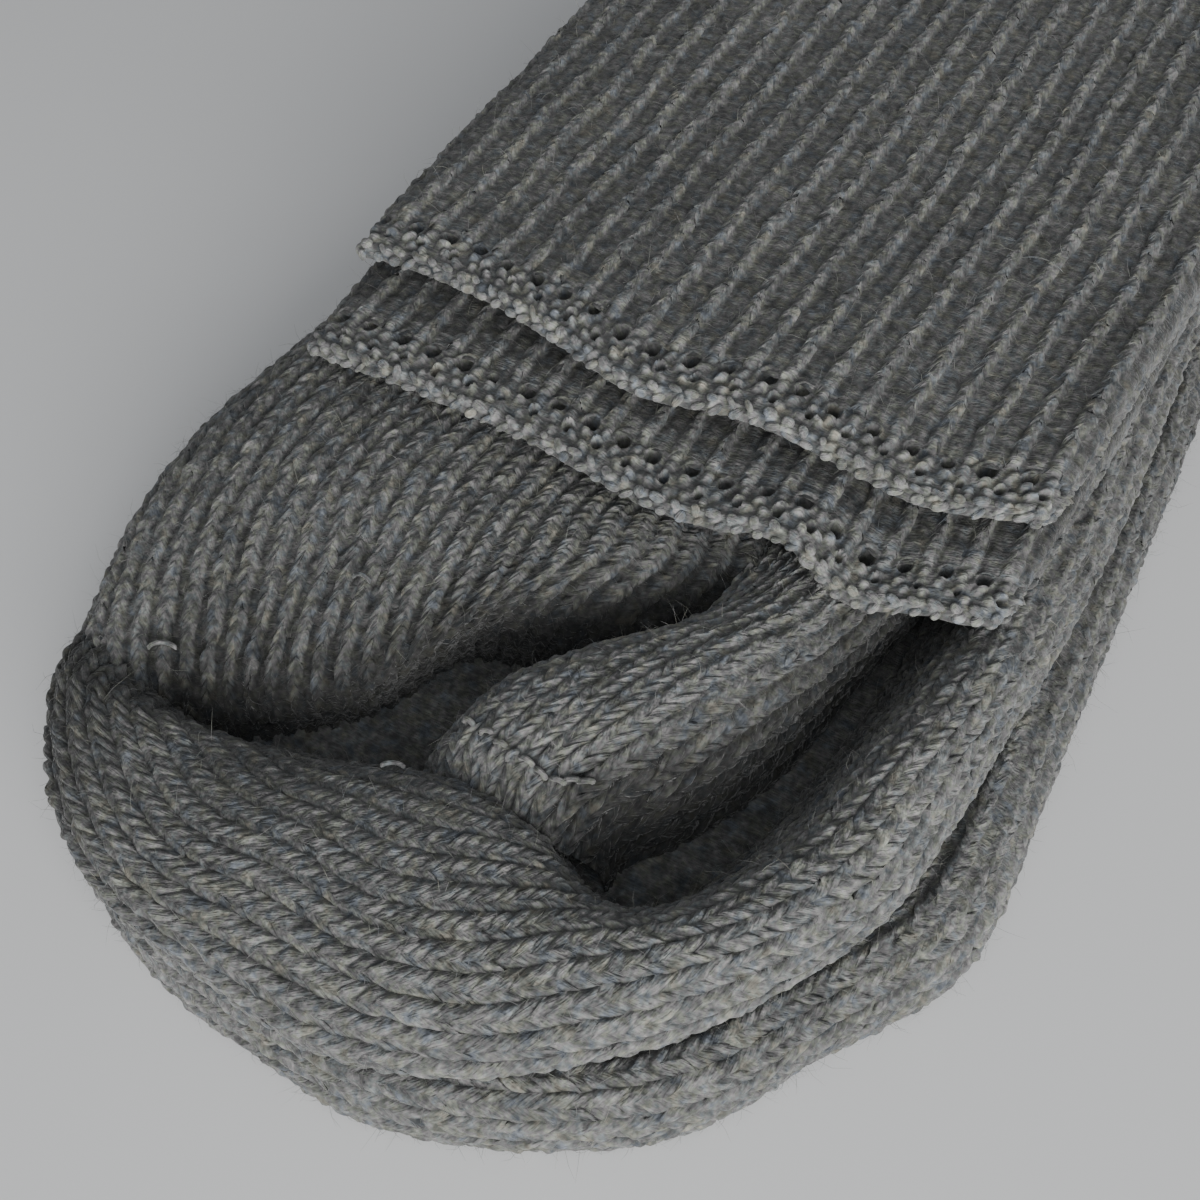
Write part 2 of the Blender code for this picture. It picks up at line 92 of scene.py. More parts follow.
# The instep's lobe between the crease and the valley: rows run from the crease's floor to the valley's.
LOBE = [
    [(-8.6, -22.8, 7.6), (-7.0, -23.4, 11.4), (-3.2, -24.4, 13.4), (2.8, -24.6, 13.6), (8.2, -24.0, 12.4), (12.4, -22.8, 9.4), (14.6, -23.8, 5.4)],
    [(-8.8, -20.6, 6.0), (-7.6, -20.4, 12.6), (-4.2, -20.2, 16.4), (3.0, -20.2, 17.6), (8.8, -19.6, 17.2), (12.4, -19.0, 13.0), (14.4, -20.4, 5.4)],
    [(-7.2, -15.4, 5.5), (-6.8, -15.2, 13.0), (-3.6, -15.0, 18.2), (5.0, -14.6, 20.4), (11.6, -14.0, 20.4), (16.0, -14.2, 16.0), (17.6, -15.6, 5.4)],
    [(-4.4, -10.4, 5.5), (-4.4, -9.8, 13.0), (-0.8, -9.0, 18.8), (8.4, -8.4, 21.6), (15.0, -7.6, 21.6), (19.6, -8.0, 16.8), (21.0, -9.0, 5.4)],
    [(1.4, -5.0, 6.0), (1.4, -4.2, 13.6), (4.4, -2.8, 18.8), (11.6, -1.2, 21.8), (17.6, -0.2, 22.0), (22.2, -0.4, 17.2), (23.4, -1.4, 5.6)],
    [(7.0, 0.2, 9.0), (7.6, 1.0, 15.4), (10.2, 2.8, 19.6), (15.2, 5.2, 21.6), (19.6, 6.4, 21.8), (23.9, 6.6, 17.5), (24.8, 6.0, 6.4)],
    [(9.6, 6.0, 12.6), (10.6, 7.2, 17.2), (13.4, 9.2, 20.4), (17.8, 13.2, 21.6), (22.0, 14.4, 21.2), (26.2, 14.4, 17.6), (26.2, 14.0, 7.4)],
    [(9.4, 27, 17.4), (12.2, 27, 20.2), (16.6, 27, 21.8), (21, 27, 21.8), (25.4, 27, 20.4), (28.0, 27, 16.4), (28.6, 27, 8.4)],
]
# Rim of the outer sock's foot, from the far left, round the heel, to the far right:
# x, y on the outline, its height at the lip, and how far in the lip lies.
RIM_COLUMNS = "x y lip inset"
RIM = [
    (-45.2, 112.5, 5.1, 2.4), (-45.8, 106.0, 5.7, 2.4), (-46.6, 86.0, 7.2, 2.8), (-47.6, 64.0, 8.2, 3.0), (-48.4, 36.0, 8.7, 3.0), (-50.0, 12.0, 8.8, 3.0),
    (-51.6, -5.0, 8.8, 3.0), (-51.6, -14.0, 8.8, 2.6), (-50.6, -22.0, 8.8, 2.4), (-48.2, -28.8, 9.0, 2.2), (-44.6, -35.2, 9.0, 2.0),
    (-37.6, -43.6, 9.2, 2.0), (-28.3, -50.2, 9.4, 2.0), (-16.2, -53.6, 9.8, 2.0), (-4.0, -54.5, 10.0, 2.0), (5.4, -54.2, 10.2, 2.4),
    (14.0, -51.9, 10.4, 3.2), (21.8, -48.1, 10.6, 3.8), (29.4, -42.7, 10.8, 4.2), (35.3, -36.3, 11.0, 4.6), (39.2, -29.2, 11.2, 4.6),
    (43.8, -21.6, 11.4, 4.5), (48.2, -13.8, 11.8, 4.6), (49.5, -5.0, 12.2, 4.6), (48.5, 8.0, 12.6, 4.0), (47.7, 24.0, 12.6, 3.6),
    (46.7, 44.0, 12.0, 3.2), (45.5, 66.0, 10.4, 3.0), (43.6, 86.0, 8.0, 2.8), (41.5, 106.0, 5.8, 2.4), (41.1, 112.5, 5.1, 2.4),
]
# The cuff edges: x as a share of the half width, y added to the mean, height added.
OUTER_WAVE = [(-1.0, 1.8, -0.9), (-0.72, 2.6, 0.1), (-0.36, 0.0, 0.5), (-0.08, -2.6, 0.6), (0.22, -0.2, 0.1), (0.5, -0.6, 0.4), (0.74, 0.4, -0.4), (1.0, 4.7, -0.8)]
INNER_WAVE = [(-1.0, 0.8, -0.8), (-0.6, 1.0, 0.0), (-0.26, 0.6, 0.2), (0.04, -0.8, 0.0), (0.2, -0.6, 0.3), (0.42, 1.2, 1.0), (0.62, -0.8, -0.7), (0.8, 1.7, -0.5), (1.0, 4.8, -1.0)]


# ------------------------------------------------------------------ smooth surfaces through rows
def spline(rows, t):
    """Catmull-Rom through rows along the first axis at t, in rows."""
    rows = np.asarray(rows, float)
    t = np.clip(np.asarray(t, float), 0, len(rows) - 1)
    k = np.minimum(t.astype(int), len(rows) - 2)
    f = (t - k).reshape((-1,) + (1,) * (rows.ndim - 1))
    last = len(rows) - 1
    p, q, r, s = rows[np.maximum(k - 1, 0)], rows[k], rows[k + 1], rows[np.minimum(k + 2, last)]
    # straight ends, so a patch doesn't curl past its first and last rows
    p = np.where((k == 0).reshape(f.shape), 2 * q - r, p)
    s = np.where((k + 2 > last).reshape(f.shape), 2 * r - q, s)
    return 0.5 * (2 * q + (r - p) * f + (2 * p - 5 * q + 4 * r - s) * f**2 + (3 * q - p - 3 * r + s) * f**3)


class Cloth:
    """A smooth surface as a dense grid: s runs across (mm), t along (mm)."""

    def __init__(self, grid, arc, ds=0.5, dt=0.5, up=(0, 0, 1), flip=None, mark=None):
        grid = np.asarray(grid, float)  # stations, points across, 3
        # even steps along
        seg = np.linalg.norm(np.diff(grid, axis=0), axis=2).mean(axis=1)
        run = np.concatenate([[0], np.cumsum(seg)])
        self.length = run[-1]
        self.mark = None if mark is None else float(run[mark])
        nt = int(self.length / dt) + 2
        self.dt = self.length / (nt - 1)
        at = np.interp(np.linspace(0, self.length, nt), run, np.arange(len(run)))
        k = np.minimum(at.astype(int), len(grid) - 2)
        f = (at - k)[:, None, None]
        grid = grid[k] * (1 - f) + grid[k + 1] * f
        # even steps across
        seg = np.linalg.norm(np.diff(grid, axis=1), axis=2)
        run = np.concatenate([np.zeros((nt, 1)), np.cumsum(seg, axis=1)], axis=1)
        self.total = run[:, -1].copy()
        self.width = float(self.total.max() if arc else self.total.mean())
        ns = int(self.width / ds) + 2
        self.ds = self.width / (ns - 1)
        s = np.linspace(0, self.width, ns)
        out = np.empty((nt, ns, 3))
        for i in range(nt):
            want = s if arc else s / self.width * self.total[i]
            for c in range(3):
                out[i, :, c] = np.interp(want, run[i], grid[i, :, c])
        self.arc = arc
        if arc:  # past the end the last stretch goes on straight
            for i in range(nt):
                over = s > self.total[i]
                if over.any():
                    e = out[i, ~over][-1]
                    d = grid[i, -1] - grid[i, -3]
                    d /= max(np.linalg.norm(d), 1e-9)
                    out[i, over] = grid[i, -1] + d * (s[over] - self.total[i])[:, None]
        self.P = out
        ts = np.gradient(out, axis=1)
        tt = np.gradient(out, axis=0)
        n = np.cross(ts, tt)
        n /= np.maximum(np.linalg.norm(n, axis=2, keepdims=True), 1e-9)
        if flip is None:
            flip = (n @ np.asarray(up, float)).mean() < 0
        self.flip = flip
        self.N = -n if flip else n

    def at(self, s, t):
        """Positions and normals, two-way linear on the dense grid."""
        a = np.clip(s / self.ds, 0, self.P.shape[1] - 1.0001)
        b = np.clip(t / self.dt, 0, self.P.shape[0] - 1.0001)
        i, j = a.astype(int), b.astype(int)
        u, v = (a - i)[..., None], (b - j)[..., None]
        res = []
        for g in (self.P, self.N):
            res.append((g[j, i] * (1 - u) + g[j, i + 1] * u) * (1 - v) + (g[j + 1, i] * (1 - u) + g[j + 1, i + 1] * u) * v)
        res[1] /= np.maximum(np.linalg.norm(res[1], axis=-1, keepdims=True), 1e-9)
        return res

    def end(self, t):
        return np.interp(t, np.linspace(0, self.length, len(self.total)), self.total)


def patch(rows, arc, **kw):
    rows = np.array(rows, float)
    a = spline(rows, np.linspace(0, len(rows) - 1, 14 * (len(rows) - 1) + 1))
    b = spline(a.transpose(1, 0, 2), np.linspace(0, rows.shape[1] - 1, 12 * (rows.shape[1] - 1) + 1)).transpose(1, 0, 2)
    return Cloth(b, arc, **kw)


# ------------------------------------------------------------------ knitting
def waves(n, seed, low, high):
    r = np.random.default_rng(seed)
    return [(r.uniform(low, high), r.uniform(low, high), r.uniform(0, 6.28), r.uniform(-1, 1)) for _ in range(n)]


def wander(x, y, table):
    """Slow uneven variation from a few sines, about -1 to 1."""
    out = np.zeros(np.broadcast(x, y).shape)
    for fx, fy, ph, a in table:
        out += a * np.sin(fx * x + fy * y + ph)
    return out / max(1.0, len(table) ** 0.5)


def plump(v, p=2.4, q=0.62):
    return np.maximum(0.0, 1 - np.abs(2 * v - 1) ** p) ** q


KNIT_SEGS, PURL_SEGS, ROWS = 6, 3, 5


def knit(name, cloth, unit, course, units, courses, rib=1.0, leg=0.55, ridge=1.0, slant=1.15, seed=1, segs=(KNIT_SEGS, PURL_SEGS),
         rows=ROWS, wobble=0.35, spread=1.0, fade=None, lift=None, narrow=0.58, plateau=0.4, shade=None, shift=0.0, lean=0.0, rough=1.0, line=0.5, painted_highlight=0.45, swing=None, mirror=False, flat=0.34):
    """A knitted stretch of a cloth in relief.

    unit: width of a wale (plain) or of a rib with its gutter, mm.  course: height of a stitch, mm.
    units, courses: (first, last) counted from the cloth's own edges.  rib: 0 plain to 1 ribbed, a number or f(u, c).
    leg: relief of the yarn legs, mm.  ridge: how far ribs stand over their gutters, mm.  slant: courses that a leg
    climbs.
    lean: 0 even legs, 1 the right leg wide and proud and the left one narrow and low, the right leg with painted light
    and the left with painted shade.  rough: unevenness of the stitches.
    line: painted shade in the groove on a rib's right, a number or f(t).  painted_highlight: painted light on the ribs'
    tops.  swing: seed of the slow waves, shared by parts that meet.
    mirror: for a cloth whose courses run to the left.  flat: painted shade on the purl stitches between ribs.
    """
    ks, ps = segs
    u0, u1 = units
    c0, c1 = courses
    nu, nc = u1 - u0, c1 - c0
    cols_a = np.tile(np.arange(ks + ps), nu)
    cols_k = np.repeat(np.arange(nu), ks + ps)
    cols_a = np.append(cols_a, 0)
    cols_k = np.append(cols_k, nu)
    rws_b = np.append(np.tile(np.arange(rows), nc), 0)
    rws_m = np.append(np.repeat(np.arange(nc), rows), nc)
    A, K = cols_a[None, :], cols_k[None, :] + u0
    B, M = rws_b[:, None], rws_m[:, None] + c0
    phi = B / rows
    in_knit = A <= ks
    q = np.where(in_knit, A / ks, 0.0)  # 0..1 over the knit wale
    g = np.where(in_knit, 0.0, (A - ks) / ps)  # 0..1 over the gutter
    out_q = np.abs(2 * q - 1)  # 0 at the wale's middle, 1 at its sides
    qq, gg = (1 - q, 1 - g) if mirror else (q, g)
    tilt = lean(M + phi + 0 * q) if callable(lean) else lean + 0 * (M + phi + q)
    shear = np.where(in_knit, slant * out_q, slant)
    yc = M + phi + shear - slant
    f = rib(K + 0.5, yc) if callable(rib) else np.full(np.broadcast(K, yc).shape, float(rib))
    knit_w = 0.985 * (1 - f) + narrow * f
    mid = 0.5 - 0.21 * tilt  # where the two legs meet
    across_q = np.where(q < 0.5, 2 * q * mid, mid + (2 * q - 1) * (1 - mid))
    x = np.where(in_knit, across_q * knit_w, knit_w + g * (1 - knit_w))
    # per-stitch unevenness
    r = np.random.default_rng(seed)
    jit = r.normal(0, 1, (nc + 3, nu + 1, 2, 4)).clip(-2, 2)
    mi = np.clip((M - c0), 0, nc)
    ki = np.clip((K - u0), 0, nu)
    side = (q > 0.5).astype(int)
    J = jit[mi, ki, side]
    jh = J[..., 0]
    swing = seed if swing is None else swing
    line = line(yc * course) if callable(line) else line
    dips = waves(5, swing + 5, 0.15, 0.9)
    sway = waves(5, swing + 9, 0.05, 0.33)
    shake = waves(9, swing + 15, 0.9, 2.4)
    shake2 = waves(9, swing + 16, 0.9, 2.4)
    lumps = waves(12, swing + 17, 1.1, 4.2)
    inside = np.sin(np.pi * np.clip(out_q, 0, 1))
    h_leg = plump(phi + 0 * q) * (0.36 + 0.64 * inside**0.8)
    h_leg = h_leg * np.where(out_q > 0.999, 0.55, 1.0)
    h_leg = h_leg * (1 + 0.24 * rough * jh)
    h_leg = h_leg * np.where(q > 0.5, 1 + 0.45 * tilt, 1 - 0.7 * tilt)
    bulge = np.maximum(0.0, 1 - out_q**2.3) ** 0.6
    foot = plateau * (0.74 + 0.13 * (1 - qq))  # the gutters run up into the rib, the left one further
    h_knit = leg * h_leg * (1 - 0.25 * f) + ridge * f * (foot + (1 - foot) * bulge) + 0.12 * (1 - f) * bulge
    purl = 0.74 + 0.26 * np.clip(gg / 0.45, 0, 1) ** 0.8 - 0.13 * gg**3
    h_purl = f * ridge * plateau * purl + leg * (0.15 + 0.3 * f) * plump(np.mod(phi + 0.5, 1.0)) * np.sin(np.pi * g) * (1 + 0.5 * rough * jh)
    h = np.where(in_knit, h_knit, h_purl)
    h = h + 0.10 * wander(K + x, yc, dips)
    s = (K + x) * unit + wobble * wander((K + x) * unit, yc * course, sway)
    t = yc * course
    h = h + 0.16 * rough * wander(s, t, lumps)
    s, t = (s + rough * (0.15 * wander(s, t, shake) + 0.05 * unit * J[..., 1] * inside * np.where(in_knit, 1, 0)),
            t + rough * (0.15 * wander(s, t, shake2) + 0.09 * course * J[..., 2] * plump(phi + 0 * q)))
    if lift is not None:
        h = h + lift(s, t)
    calm = 1.0 if fade is None else fade(s, t)
    h = h * calm
    P, N = cloth.at(s + shift, t)
    V = P + N * (h * spread)[..., None]
    ny, nx = h.shape
    idx = np.arange(ny * nx).reshape(ny, nx)
    F = np.stack([idx[:-1, :-1], idx[:-1, 1:], idx[1:, 1:], idx[1:, :-1]], axis=-1).reshape(-1, 4)
    keep = np.ones(len(F), bool)
    if cloth.arc:
        over = s + shift > cloth.end(t) + 1.0
        keep &= ~(over.reshape(-1)[F].all(axis=1))
    off = (t < -0.01) | (t > cloth.length + 0.01)
    keep &= ~(off.reshape(-1)[F].all(axis=1))
    # yarn coordinates: along and across the leg, mm, and a tone for each leg
    a_face = np.broadcast_to(A[:, :-1], (ny - 1, nx - 1))
    left = a_face < ks / 2
    purl_face = a_face >= ks
    ang = math.atan(slant * course / (0.5 * unit * float(np.mean(knit_w))))
    ca, sa = math.cos(ang), math.sin(ang)
    X = s.reshape(-1)[F].reshape(ny - 1, nx - 1, 4)
    Y = np.broadcast_to((M + phi + 0 * q) * course, (ny, nx)).reshape(-1)[F].reshape(ny - 1, nx - 1, 4)
    Yt = np.broadcast_to(yc * course, (ny, nx)).reshape(-1)[F].reshape(ny - 1, nx - 1, 4)
    sign = np.where(left, -1.0, 1.0)[..., None]
    along = sign * X * ca + Yt * sa
    across = -sign * X * sa + Yt * ca
    along = np.where(purl_face[..., None], X, along)
    across = np.where(purl_face[..., None], Yt, across)
    uv = np.stack([along, across], axis=-1).reshape(-1, 4, 2)
    tone = r.normal(0, 1, (nc + 1, nu + 1, 3))
    fm = np.broadcast_to((M - c0)[:-1, :], (ny - 1, nx - 1))
    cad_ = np.broadcast_to((K - u0)[:, :-1], (ny - 1, nx - 1))
    which = np.where(purl_face, 2, np.where(left, 0, 1))
    T = tone[fm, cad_, which].reshape(-1)
    # a yarn runs along its course, so neighbours share some of its tone
    slow = waves(7, seed + 3, 0.1, 1.3)
    T = 0.8 * T * np.where(purl_face, 0.5, 1.0).reshape(-1) + 0.4 * wander(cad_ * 0.6, fm * 1.9 + 0.0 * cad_, slow).reshape(-1)
    # painted shade in the gaps between courses, at the wales' sides and in the ribs' grooves; painted light on the
    # ribs' tops, on the proud leg and on taller stitches
    gap = 1 - plump(phi + 0 * q)
    side_gap = np.exp(-((gg / 0.38) ** 2)) * line + 0.12 * np.exp(-(((1 - gg) / 0.2) ** 2))
    deep = np.where(in_knit, (0.5 - 0.3 * f) * gap + (0.6 - f * (0.75 - line * 0.8 * (qq > 0.5))) * (out_q > 0.999) + 0.25 * (out_q < 0.01) * (1 - f) - painted_highlight * f * bulge - 0.12 * (1 - f) * bulge
                    + tilt * np.where(q > 0.5, -0.16, 0.16) - 0.08 * rough * jh,
                    f * (flat + side_gap) + 0.2 * (1 - plump(np.mod(phi + 0.5, 1.0))) * np.sin(np.pi * g) + (1 - f) * 0.45 - 0.12 * rough * J[..., 3])
    deep = (np.broadcast_to(deep, h.shape) * (0.3 + 0.7 * calm)).reshape(-1)
    # painted shade and light by place, from the piece's own shade function
    if shade is not None:
        deep = deep + shade(V, N).reshape(-1)
    if cloth.flip:
        F = F[:, ::-1]
        uv = uv[:, ::-1]
    F, uv, T = F[keep], uv[keep], T[keep]
    return dict(name=name, V=V.reshape(-1, 3), F=F, uv=uv, tone=T, deep=deep)


def merge(name, parts):
    V, F, uv, T, D, n = [], [], [], [], [], 0
    for p in parts:
        V.append(p["V"]); F.append(p["F"] + n); uv.append(p["uv"]); T.append(p["tone"]); D.append(p["deep"])
        n += len(p["V"])
    return dict(name=name, V=np.concatenate(V), F=np.concatenate(F), uv=np.concatenate(uv), tone=np.concatenate(T), deep=np.concatenate(D))


def make(p, material, smooth=True):
    used = np.zeros(len(p["V"]), bool)
    used[p["F"].reshape(-1)] = True
    new = np.cumsum(used) - 1
    V, F, D = p["V"][used], new[p["F"]], p["deep"][used]
    V = V.copy()
    V[:, 2] = np.maximum(V[:, 2], 0.08)
    V = (V - CENTRE) * MM
    me = bpy.data.meshes.new(p["name"])
    k = F.shape[1]
    me.vertices.add(len(V))
    me.vertices.foreach_set("co", V.astype(np.float32).ravel())
    me.loops.add(F.size)
    me.loops.foreach_set("vertex_index", F.astype(np.int32).ravel())
    me.polygons.add(len(F))
    me.polygons.foreach_set("loop_start", np.arange(0, F.size, k, dtype=np.int32))
    me.polygons.foreach_set("loop_total", np.full(len(F), k, dtype=np.int32))
    me.polygons.foreach_set("use_smooth", np.full(len(F), smooth))
    me.update(calc_edges=True)
    uvl = me.uv_layers.new(name="yarn")
    uvl.data.foreach_set("uv", (p["uv"] * 0.1).astype(np.float32).ravel())
    at = me.attributes.new("tone", "FLOAT", "FACE")
    at.data.foreach_set("value", p["tone"].astype(np.float32))
    at = me.attributes.new("deep", "FLOAT", "POINT")
    at.data.foreach_set("value", D.astype(np.float32))
    me.validate()
    ob = bpy.data.objects.new(p["name"], me)
    bpy.context.scene.collection.objects.link(ob)
    me.materials.append(material)
    return ob


# ------------------------------------------------------------------ wool
def wool(name, dark, mid, light, rough_scale=1.0):
    m = bpy.data.materials.new(name)
    m.use_nodes = True
    nt = m.node_tree
    N, L = nt.nodes, nt.links
    bsdf = N["Principled BSDF"]
    bsdf.inputs["Roughness"].default_value = 0.92
    bsdf.inputs["Specular IOR Level"].default_value = 0.25
    bsdf.inputs["Sheen Weight"].default_value = 0.22
    bsdf.inputs["Sheen Roughness"].default_value = 0.45
    bsdf.inputs["Sheen Tint"].default_value = (0.95, 0.95, 0.94, 1)
    uv = N.new("ShaderNodeUVMap"); uv.uv_map = "yarn"
    obj = N.new("ShaderNodeTexCoord")
    tone = N.new("ShaderNodeAttribute"); tone.attribute_name = "tone"
    deep = N.new("ShaderNodeAttribute"); deep.attribute_name = "deep"

    def mapping(src, scale):
        mp = N.new("ShaderNodeMapping")
        mp.inputs["Scale"].default_value = scale
        L.new(src, mp.inputs["Vector"])
        return mp.outputs["Vector"]

    def noise(src, scale, detail=2.0, rough=0.55, dims="3D", w=None):
        n = N.new("ShaderNodeTexNoise")
        n.noise_dimensions = dims
        n.inputs["Scale"].default_value = scale
        n.inputs["Detail"].default_value = detail
        n.inputs["Roughness"].default_value = rough
        L.new(src, n.inputs["Vector"])
        if w is not None:
            L.new(w, n.inputs["W"])
        return n

    def math_(op, a, b=None, c=None, clamp=False):
        n = N.new("ShaderNodeMath"); n.operation = op; n.use_clamp = clamp
        for i, v in enumerate((a, b, c)):
            if v is None:
                continue
            if isinstance(v, (int, float)):
                n.inputs[i].default_value = v
            else:
                L.new(v, n.inputs[i])
        return n.outputs[0]

    def mix(fac, a, b, kind="MIX"):
        n = N.new("ShaderNodeMix"); n.data_type = "RGBA"; n.blend_type = kind
        if isinstance(fac, (int, float)):
            n.inputs[0].default_value = fac
        else:
            L.new(fac, n.inputs[0])
        for s, v in ((6, a), (7, b)):
            if isinstance(v, tuple):
                n.inputs[s].default_value = v
            else:
                L.new(v, n.inputs[s])
        return n.outputs[2]

    # fibres: streaks along the yarn. UV is in centimetres, so these scales are per centimetre; each leg has its own slice.
    seed = math_("MULTIPLY", tone.outputs["Fac"], 3.7)

    def slice_(scale):
        sep = N.new("ShaderNodeSeparateXYZ")
        L.new(uv.outputs["UV"], sep.inputs[0])
        com = N.new("ShaderNodeCombineXYZ")
        L.new(math_("MULTIPLY", sep.outputs[0], scale[0]), com.inputs[0])
        L.new(math_("MULTIPLY", sep.outputs[1], scale[1]), com.inputs[1])
        L.new(seed, com.inputs[2])
        return com.outputs[0]

    streak = noise(slice_((11.0, 50.0)), 1.0, 2.0, 0.6)
    mottle = noise(obj.outputs["Object"], 1150.0, 1.0, 0.6)
    blotch = noise(obj.outputs["Object"], 420.0, 2.0, 0.6)
    # value: 0 dark fibre to 1 light fibre
    v = math_("MULTIPLY_ADD", streak.outputs["Fac"], 0.6, -0.3)
    v = math_("MULTIPLY_ADD", mottle.outputs["Fac"], 0.98, v)
    v = math_("MULTIPLY_ADD", tone.outputs["Fac"], 0.085, v)
    v = math_("MULTIPLY_ADD", blotch.outputs["Fac"], 0.45, math_("SUBTRACT", v, 0.225), clamp=True)
    ramp = N.new("ShaderNodeValToRGB")
    ramp.color_ramp.interpolation = "B_SPLINE"
    el = ramp.color_ramp.elements
    el[0].position, el[0].color = 0.05, dark
    el[1].position, el[1].color = 0.95, light
    e = el.new(0.5); e.color = mid
    L.new(v, ramp.inputs[0])
    col = ramp.outputs["Color"]
    # flecks of blue-grey, green-grey and beige fibre
    hue = N.new("ShaderNodeValToRGB")
    h = hue.color_ramp.elements
    h[0].position, h[0].color = 0.32, (0.86, 0.95, 1.12, 1)
    h[1].position, h[1].color = 0.70, (1.09, 1.02, 0.88, 1)
    e = h.new(0.42); e.color = (0.96, 1.03, 1.02, 1)
    e = h.new(0.50); e.color = (1.03, 0.97, 1.02, 1)
    e = h.new(0.58); e.color = (0.97, 1.04, 0.93, 1)
    tint = noise(obj.outputs["Object"], 640.0, 2.0, 0.65)
    L.new(math_("MULTIPLY_ADD", tone.outputs["Fac"], 0.03, tint.outputs["Fac"]), hue.inputs[0])
    col = mix(0.9, col, hue.outputs["Color"], "MULTIPLY")
    # painted shade and light from a mesh attribute: grooves, creases and the valley darker, rib tops and bumps lighter
    shade = N.new("ShaderNodeMapRange")
    shade.inputs["From Min"].default_value = -1.6
    shade.inputs["From Max"].default_value = 1.6
    shade.inputs["To Min"].default_value = 1.62
    shade.inputs["To Max"].default_value = 0.18
    L.new(deep.outputs["Fac"], shade.inputs["Value"])
    sh = N.new("ShaderNodeCombineColor")
    for i in range(3):
        L.new(shade.outputs[0], sh.inputs[i])
    col = mix(1.0, col, sh.outputs[0], "MULTIPLY")
    L.new(col, bsdf.inputs["Base Color"])
    # bump: twisted plies and loose fibres
    fine = noise(slice_((9.0, 42.0)), 1.0, 1.0, 0.6)
    fuzz = noise(obj.outputs["Object"], 2100.0, 1.0, 0.6)
    hgt = math_("MULTIPLY_ADD", fuzz.outputs["Fac"], 0.9, fine.outputs["Fac"])
    bump = N.new("ShaderNodeBump")
    bump.inputs["Strength"].default_value = 0.85
    bump.inputs["Distance"].default_value = 0.00028
    L.new(hgt, bump.inputs["Height"])
    L.new(bump.outputs["Normal"], bsdf.inputs["Normal"])
    return m


WOOL = wool("grey_marl_wool", (0.045, 0.046, 0.047, 1), (0.135, 0.136, 0.134, 1), (0.34, 0.337, 0.322, 1))

# ------------------------------------------------------------------ legs: flattened tubes along their path
def oval_ring(left, right, thick, n=160):
    """Round the tube from the middle of its inner side, by its right side, over its outer side."""
    half, mid = 0.5 * (right - left), 0.5 * (right + left)
    r = 0.5 * thick
    flat = half - r
    pts = []
    total = 4 * flat + 2 * math.pi * r
    for i in range(n):
        d = total * i / (n - 1)
        if d <= flat:
            pts.append((mid + d, -r))
        elif d <= flat + math.pi * r:
            a = (d - flat) / r
            pts.append((mid + flat + r * math.sin(a), -r * math.cos(a)))
        elif d <= 3 * flat + math.pi * r:
            pts.append((mid + flat - (d - flat - math.pi * r), r))
        elif d <= 3 * flat + 2 * math.pi * r:
            a = (d - 3 * flat - math.pi * r) / r
            pts.append((mid - flat - r * math.sin(a), r * math.cos(a)))
        else:
            pts.append((mid - flat + (d - 3 * flat - 2 * math.pi * r), -r))
    return np.array(pts)


def leg_grid(thick, outer_radius, edge, wave, start_left, start_right, sag):
    radius = outer_radius - 0.5 * thick
    mz = 0.5 * PACK_HEIGHT
    ty = FAR_END - 0.5 * PACK_HEIGHT
    half_w = 0.5 * (LEG_RIGHT - LEG_LEFT)
    mid_x = 0.5 * (LEG_RIGHT + LEG_LEFT)
    stops = [(FOOT_END + GAP, mz - radius, 0.0, 0.0)]
    stops += [(ty + radius * math.sin(a), mz - radius * math.cos(a), a, 0.0) for a in np.linspace(0, math.pi, 17)]
    run = ty - edge
    stops += [(ty - run * i / 36, mz + radius, math.pi, 0.0) for i in range(1, 37)]
    at_edge = len(stops) - 1
    # the mouth: each wall rolls over its own edge and goes back inside
    roll = 0.5 * (thick - 0.3) * 0.5
    stops += [(edge - roll * math.sin(a), mz + radius, math.pi, roll * (1 - math.cos(a))) for a in np.linspace(0, math.pi, 9)[1:]]
    stops += [(edge + d, mz + radius, math.pi, 2 * roll) for d in (1.5, 4.0, 8.0)]
    wave = np.array(wave)
    rings = []
    for y, z, turn, inset in stops:
        f = min(1.0, turn / math.pi)
        left = start_left + (LEG_LEFT - start_left) * f
        right = start_right + (LEG_RIGHT - start_right) * f
        ring = oval_ring(left + inset, right - inset, thick - 2 * inset)
        x, h = ring[:, 0], ring[:, 1]
        share = np.clip((x - mid_x) / half_w, -1, 1)
        reach = min(1.0, max(0.0, 1 - (y - edge) / 40.0)) if turn == math.pi else 0.0
        pos = np.interp(share, wave[:, 0], np.arange(len(wave)))
        w = spline(wave, pos)
        dy, dz = w[:, 1] * reach, w[:, 2] * reach**2
        if turn == math.pi:  # the lower wall ends a little behind the upper one
            dy = dy + 3.4 * np.clip(0.5 - 2.2 * h / thick, 0, 1) * min(1.0, max(0.0, 1 - (y - edge) / 14.0))
        crown = -LEG_CROWN * share**2 * max(0.0, -math.cos(turn))
        on_top = max(0.0, -math.cos(turn))
        dent = on_top * sag(x, y)
        nyy, nzz = math.sin(turn), -math.cos(turn)
        dx = -2.1 * np.clip((share - 0.5) / 0.5, 0, 1) * reach  # the mouth draws in at the right
        rings.append(np.stack([x + dx, y + nyy * h + dy, z + nzz * h + crown + dz + dent], axis=1))
    return np.array(rings), at_edge


def outer_sag(x, y):
    return 0.35 * np.sin(x * 0.11 + y * 0.05) + 0.25 * np.sin(x * 0.23 - y * 0.08 + 1.3)


def inner_sag(x, y):
    return 0.2 * np.sin(x * 0.13 + y * 0.06)


def leg_cloth(*a):
    rings, at_edge = leg_grid(*a)
    return Cloth(rings, False, ds=0.5, dt=0.3, flip=False, mark=at_edge)


